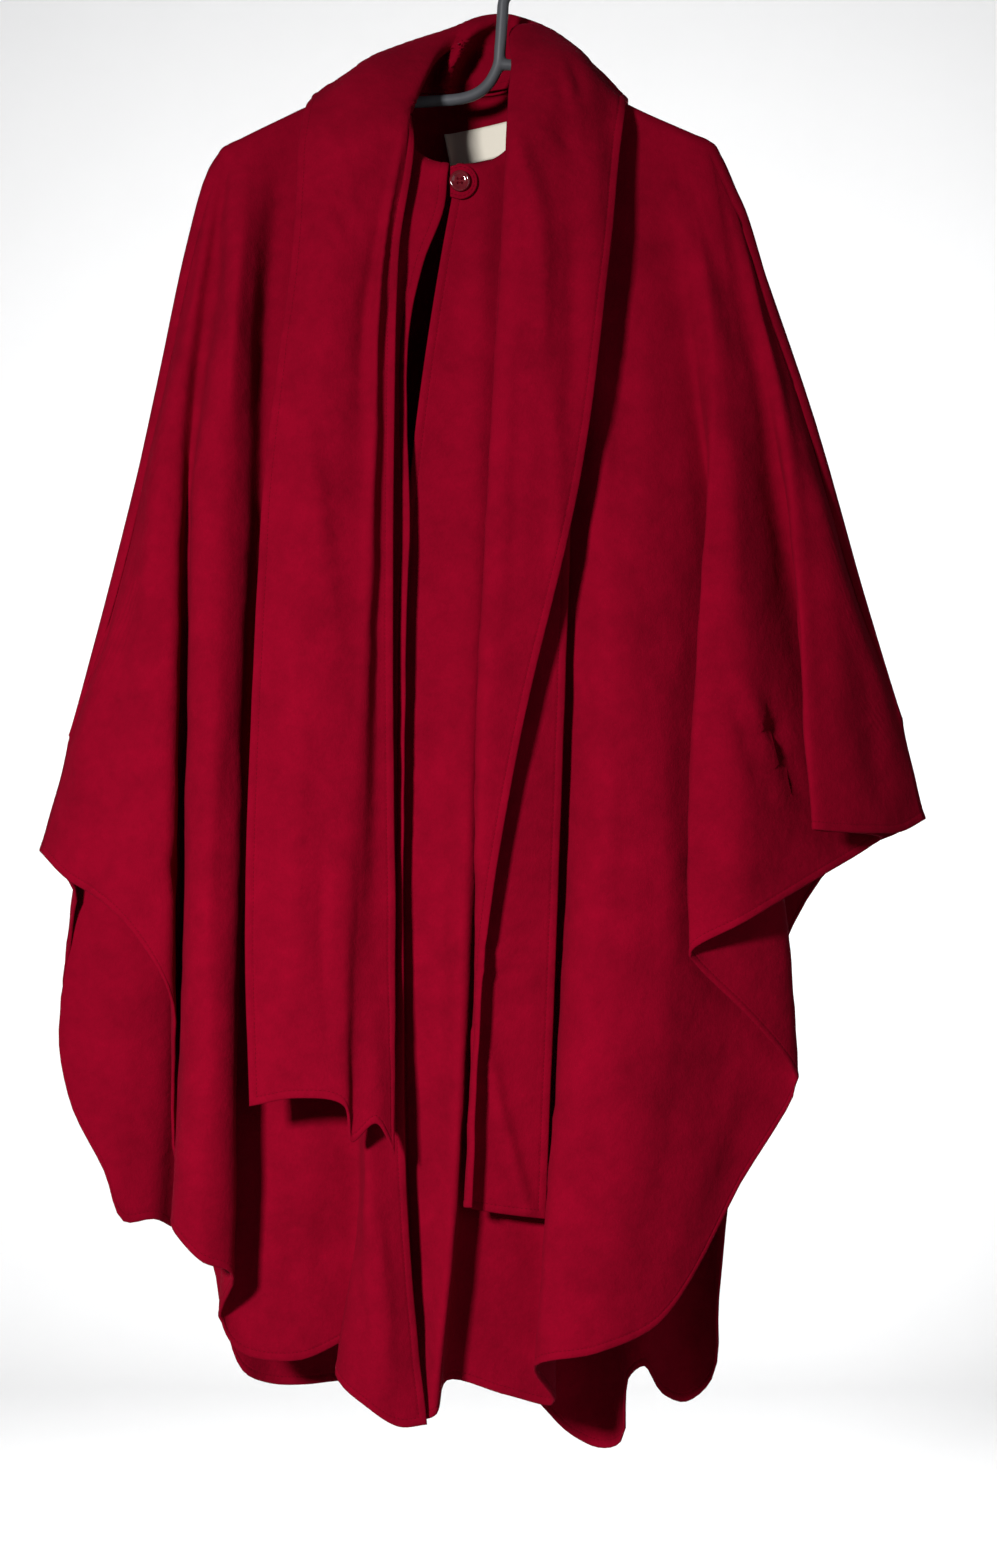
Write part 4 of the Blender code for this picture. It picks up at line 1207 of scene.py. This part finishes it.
def make_tab(sizes, left_x, mid_x, mid_z):
    """Tab from the edge of the left front to round the button, with its stitches."""
    low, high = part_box("neck_tab")
    near_y, far_y = low[1] / MM, high[1] / MM
    turns = np.radians(np.linspace(90.0, -90.0, 25))
    outline = [(mid_x + TAB_ROUND * math.cos(t), mid_z + TAB_ROUND * math.sin(t)) for t in turns]
    for side, xs in (
        (-1, np.linspace(mid_x, left_x, 8)[1:]), (1, np.linspace(left_x, mid_x, 8)[:-1]),
    ):
        for x in xs:
            share = (mid_x - x) / (mid_x - left_x)
            outline.append((x, mid_z + side * (TAB_ROUND - share * TAB_TAPER)))
    tab = closed_tube("neck_tab_cloth", [[(x, y, z) for x, z in outline] for y in (far_y, near_y)])
    wool = bpy.data.materials["scene tab wool"]
    tab.data.materials.append(wool)
    round_edges(tab, 0.0009, 4, 50)
    tab = baked(tab, wool)
    inset = TAB_ROUND - TAB_STITCH_IN
    line = [np.array([mid_x + inset * math.cos(t), near_y, mid_z + inset * math.sin(t)])
            for t in turns]
    sewn_half = TAB_ROUND - TAB_TAPER - TAB_STITCH_IN
    start = np.array([left_x + 1.0, near_y, mid_z + sewn_half])
    end = np.array([left_x + 1.0, near_y, mid_z - sewn_half])
    sewn = stitches("neck_tab_stitches", [np.array([start] + line + [end])], sizes, "cape_wool")
    carry(tab, "cape_wool", "neck_tab")
    width = (mid_x + TAB_ROUND - left_x) * MM


def make_button(mid_x, mid_z):
    """Turned button with four holes, and its two short threads."""
    face_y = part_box("neck_button")[1][1] / MM
    button = turned("button_turned", BUTTON_PROFILE, (mid_x, face_y, mid_z), 48)
    gloss = bpy.data.materials["scene button"]
    button.data.materials.append(gloss)
    cutters = []
    for right, up in ((-1, -1), (1, -1), (1, 1), (-1, 1)):
        centre = (mid_x + right * HOLE_OUT, face_y, mid_z + up * HOLE_OUT)
        hole = turned("hole", [(HOLE_RADIUS, 1.0), (HOLE_RADIUS, -6.0)], centre, 16)
        cut = button.modifiers.new("hole", "BOOLEAN")
        cut.operation = "DIFFERENCE"
        cut.object = hole
        cutters.append(hole)
    round_edges(button, 0.00025, 2, 45)
    button = baked(button, gloss)
    for hole in cutters:
        bpy.data.objects.remove(hole, do_unlink=True)
    carry(button, "button_plastic", "neck_button")
    for k, up in enumerate((-1, 1)):
        start, end = (
            (mid_x + right * HOLE_OUT, face_y - THREAD_OUT, mid_z + up * HOLE_OUT)
            for right in (-1, 1)
        )
        thread = capsule(f"button_thread_{k + 1}", start, end, THREAD_RADIUS)
        thread.data.shade_smooth()
        thread.data.materials.append(bpy.data.materials["scene thread"])
        carry(thread, "cape_wool")


class CAPE_OT_closure(bpy.types.Operator):
    """Make the neck tab with its stitches, the button and its thread"""
    bl_idname = "cape.closure"
    bl_label = "Tab and button"

    def execute(self, context):
        mid_x, _, mid_z = place([BUTTON_X, TAB_DEPTH, BUTTON_Z])
        left_x = place([TAB_LEFT_X, TAB_DEPTH, BUTTON_Z])[0]
        make_tab(context.scene.cape_sizes, left_x, mid_x, mid_z)
        make_button(mid_x, mid_z)
        return {"FINISHED"}


class CAPE_OT_label(bpy.types.Operator):
    """Make the bare label inside the back of the neck"""
    bl_idname = "cape.label"
    bl_label = "Label"

    def execute(self, context):
        sheet = bpy.data.objects["back_cloth"].data
        tree = BVHTree.FromPolygons(
            [v.co / MM for v in sheet.vertices], [tuple(p.vertices) for p in sheet.polygons]
        )
        cosine = math.cos(math.radians(LABEL_TILT))
        sine = math.sin(math.radians(LABEL_TILT))
        grid = []
        for down in np.linspace(0.0, 1.0, 13):
            row = []
            for across in np.linspace(0.0, 1.0, 37):
                x = LABEL_LEFT_X + LABEL_WIDTH * across * cosine + LABEL_HEIGHT * down * sine
                z = LABEL_TOP_Z + LABEL_WIDTH * across * sine - LABEL_HEIGHT * down * cosine
                x, _, z = place([x, LABEL_DEPTH, z])
                hit = tree.ray_cast(Vector((x, 0.0, z)), Vector((0.0, 1.0, 0.0)))
                lift = LABEL_LIFT + LABEL_CURL * math.exp(-(across * LABEL_WIDTH / 3.0) ** 2)
                lift += LABEL_BOW * math.sin(math.pi * down)
                row.append((x, hit[0].y - lift - LABEL_THICK / 2, z))
            grid.append(row)
        grid = np.array(grid)
        thickness = np.full(grid.shape[:2], LABEL_THICK)
        label = shell("label_cloth", grid, thickness, bpy.data.materials["scene label"])
        carry(label, "label_tape", "neck_label")
        return {"FINISHED"}


def arm_points(xs):
    """Centre of an arm of the hanger at some x, just under the shoulder seam."""
    return [(x, seam_point(x, 1)[2] - ARM_DROP) for x in xs]


class CAPE_OT_hanger(bpy.types.Operator):
    """Make the moulded hanger with its hook, stem and arms"""
    bl_idname = "cape.hanger"
    bl_label = "Hanger"

    def execute(self, context):
        radius = HOOK_INNER + HANGER_ROD
        turns = np.radians(np.linspace(HOOK_TIP, HOOK_TIP - HOOK_TURN, 40))
        arc = [(radius * math.cos(t), -HOOK_INNER + radius * math.sin(t)) for t in turns]
        stem = STEM + arm_points(LEFT_ARM_X)
        stem = sample(stem, [6] * (len(stem) - 1))
        hanger = rod("hanger_moulded", arc + [tuple(p) for p in stem[1:]], HANGER_ROD)
        spur = RIGHT_SPUR + arm_points(RIGHT_ARM_X)
        arm = rod("arm", sample(spur, [6] * (len(spur) - 1)), RIGHT_ROD)
        union = hanger.modifiers.new("right arm", "BOOLEAN")
        union.operation = "UNION"
        union.object = arm
        remesh = hanger.modifiers.new("moulding", "REMESH")
        remesh.mode = "VOXEL"
        remesh.voxel_size = 0.0012
        smooth = hanger.modifiers.new("soft joints", "SMOOTH")
        smooth.factor = 0.5
        smooth.iterations = 10
        look = bpy.data.materials["scene hanger"]
        hanger.data.materials.append(look)
        hanger = baked(hanger, look)
        bpy.data.objects.remove(arm, do_unlink=True)
        carry(hanger, "hanger_plastic", "hanger")
        return {"FINISHED"}


def area_light(name, place_at, target, power, size):
    """Square lamp that shines at a point."""
    lamp = bpy.data.lights.new(name, "AREA")
    lamp.energy = power
    lamp.size = size
    thing = linked(name, lamp)
    thing.location = place_at
    thing.rotation_euler = (Vector(target) - thing.location).to_track_quat("-Z", "Y").to_euler()
    return lamp


class CAPE_OT_stage(bpy.types.Operator):
    """Make the floor and wall, the lights and the camera"""
    bl_idname = "cape.stage"
    bl_label = "Studio"

    def execute(self, context):
        scene = context.scene
        studio = scene.cape_studio
        profile = [(-STAGE_HALF, FLOOR_Z)]
        for k in range(13):
            turn = math.radians(90.0) * k / 12
            profile.append((WALL_Y - BEND_RADIUS + BEND_RADIUS * math.sin(turn),
                            FLOOR_Z + BEND_RADIUS - BEND_RADIUS * math.cos(turn)))
        profile.append((WALL_Y, WALL_TOP))
        points = [(x, y, z) for y, z in profile for x in (-STAGE_HALF, STAGE_HALF)]
        faces = [(2 * k, 2 * k + 1, 2 * k + 3, 2 * k + 2) for k in range(len(profile) - 1)]
        mesh = bpy.data.meshes.new("backdrop")
        mesh.from_pydata(points, [], faces)
        mesh.shade_smooth()
        backdrop = linked("backdrop", mesh)
        paper = Look("stage paper", Roughness=0.9)
        paper.blend(shade(studio.backdrop, 0.97), studio.backdrop,
                    paper.grain(paper.place(), 3.0))
        mesh.materials.append(paper.material)

        key = area_light("key", KEY_PLACE, LIT_POINT, studio.key_power, studio.key_size)
        key.spread = math.radians(KEY_SPREAD)
        area_light("fill", FILL_PLACE, LIT_POINT, studio.fill_power, 2.0)
        area_light("wall light", (0.0, 1.4, -0.7), (0.0, WALL_Y, -0.7), WALL_POWER, 4.0)
        world = bpy.data.worlds.new("studio world")
        world.use_nodes = True
        background = world.node_tree.nodes["Background"]
        background.inputs["Color"].default_value = (0.9, 0.92, 1.0, 1.0)
        background.inputs["Strength"].default_value = WORLD_STRENGTH
        scene.world = world
        scene.view_settings.view_transform = "Standard"

        camera = bpy.data.cameras.new("camera")
        camera.sensor_fit = "VERTICAL"
        camera.sensor_height = 36.0
        camera.lens = studio.lens
        view = linked("camera", camera)
        view.location = CAMERA_PLACE
        view.rotation_euler = (math.radians(90.0), 0.0, 0.0)
        scene.camera = view
        return {"FINISHED"}


class CAPE_PT_panel(bpy.types.Panel):
    """Sizes, colours and the steps of the build"""
    bl_idname = "CAPE_PT_panel"
    bl_label = "Cape"
    bl_space_type = "VIEW_3D"
    bl_region_type = "UI"
    bl_category = "Cape"

    def draw(self, context):
        for group in (context.scene.cape_sizes, context.scene.cape_studio):
            box = self.layout.box()
            for name in group.__annotations__:
                box.prop(group, name)
        for step in STEPS:
            self.layout.operator(step.bl_idname)


STEPS = (
    CAPE_OT_looks, CAPE_OT_sheets, CAPE_OT_scarf, CAPE_OT_closure, CAPE_OT_label,
    CAPE_OT_hanger, CAPE_OT_stage,
)
CLASSES = (CapeSizes, StudioSizes) + STEPS + (CAPE_PT_panel,)


def register():
    for item in CLASSES:
        bpy.utils.register_class(item)
    bpy.types.Scene.cape_sizes = bpy.props.PointerProperty(type=CapeSizes)
    bpy.types.Scene.cape_studio = bpy.props.PointerProperty(type=StudioSizes)


def unregister():
    del bpy.types.Scene.cape_studio
    del bpy.types.Scene.cape_sizes
    for item in reversed(CLASSES):
        bpy.utils.unregister_class(item)


def main():
    """Build the model step by step."""
    register()
    for step in STEPS:
        family, name = step.bl_idname.split(".")
        getattr(getattr(bpy.ops, family), name)()


if __name__ == "__main__":
    main()
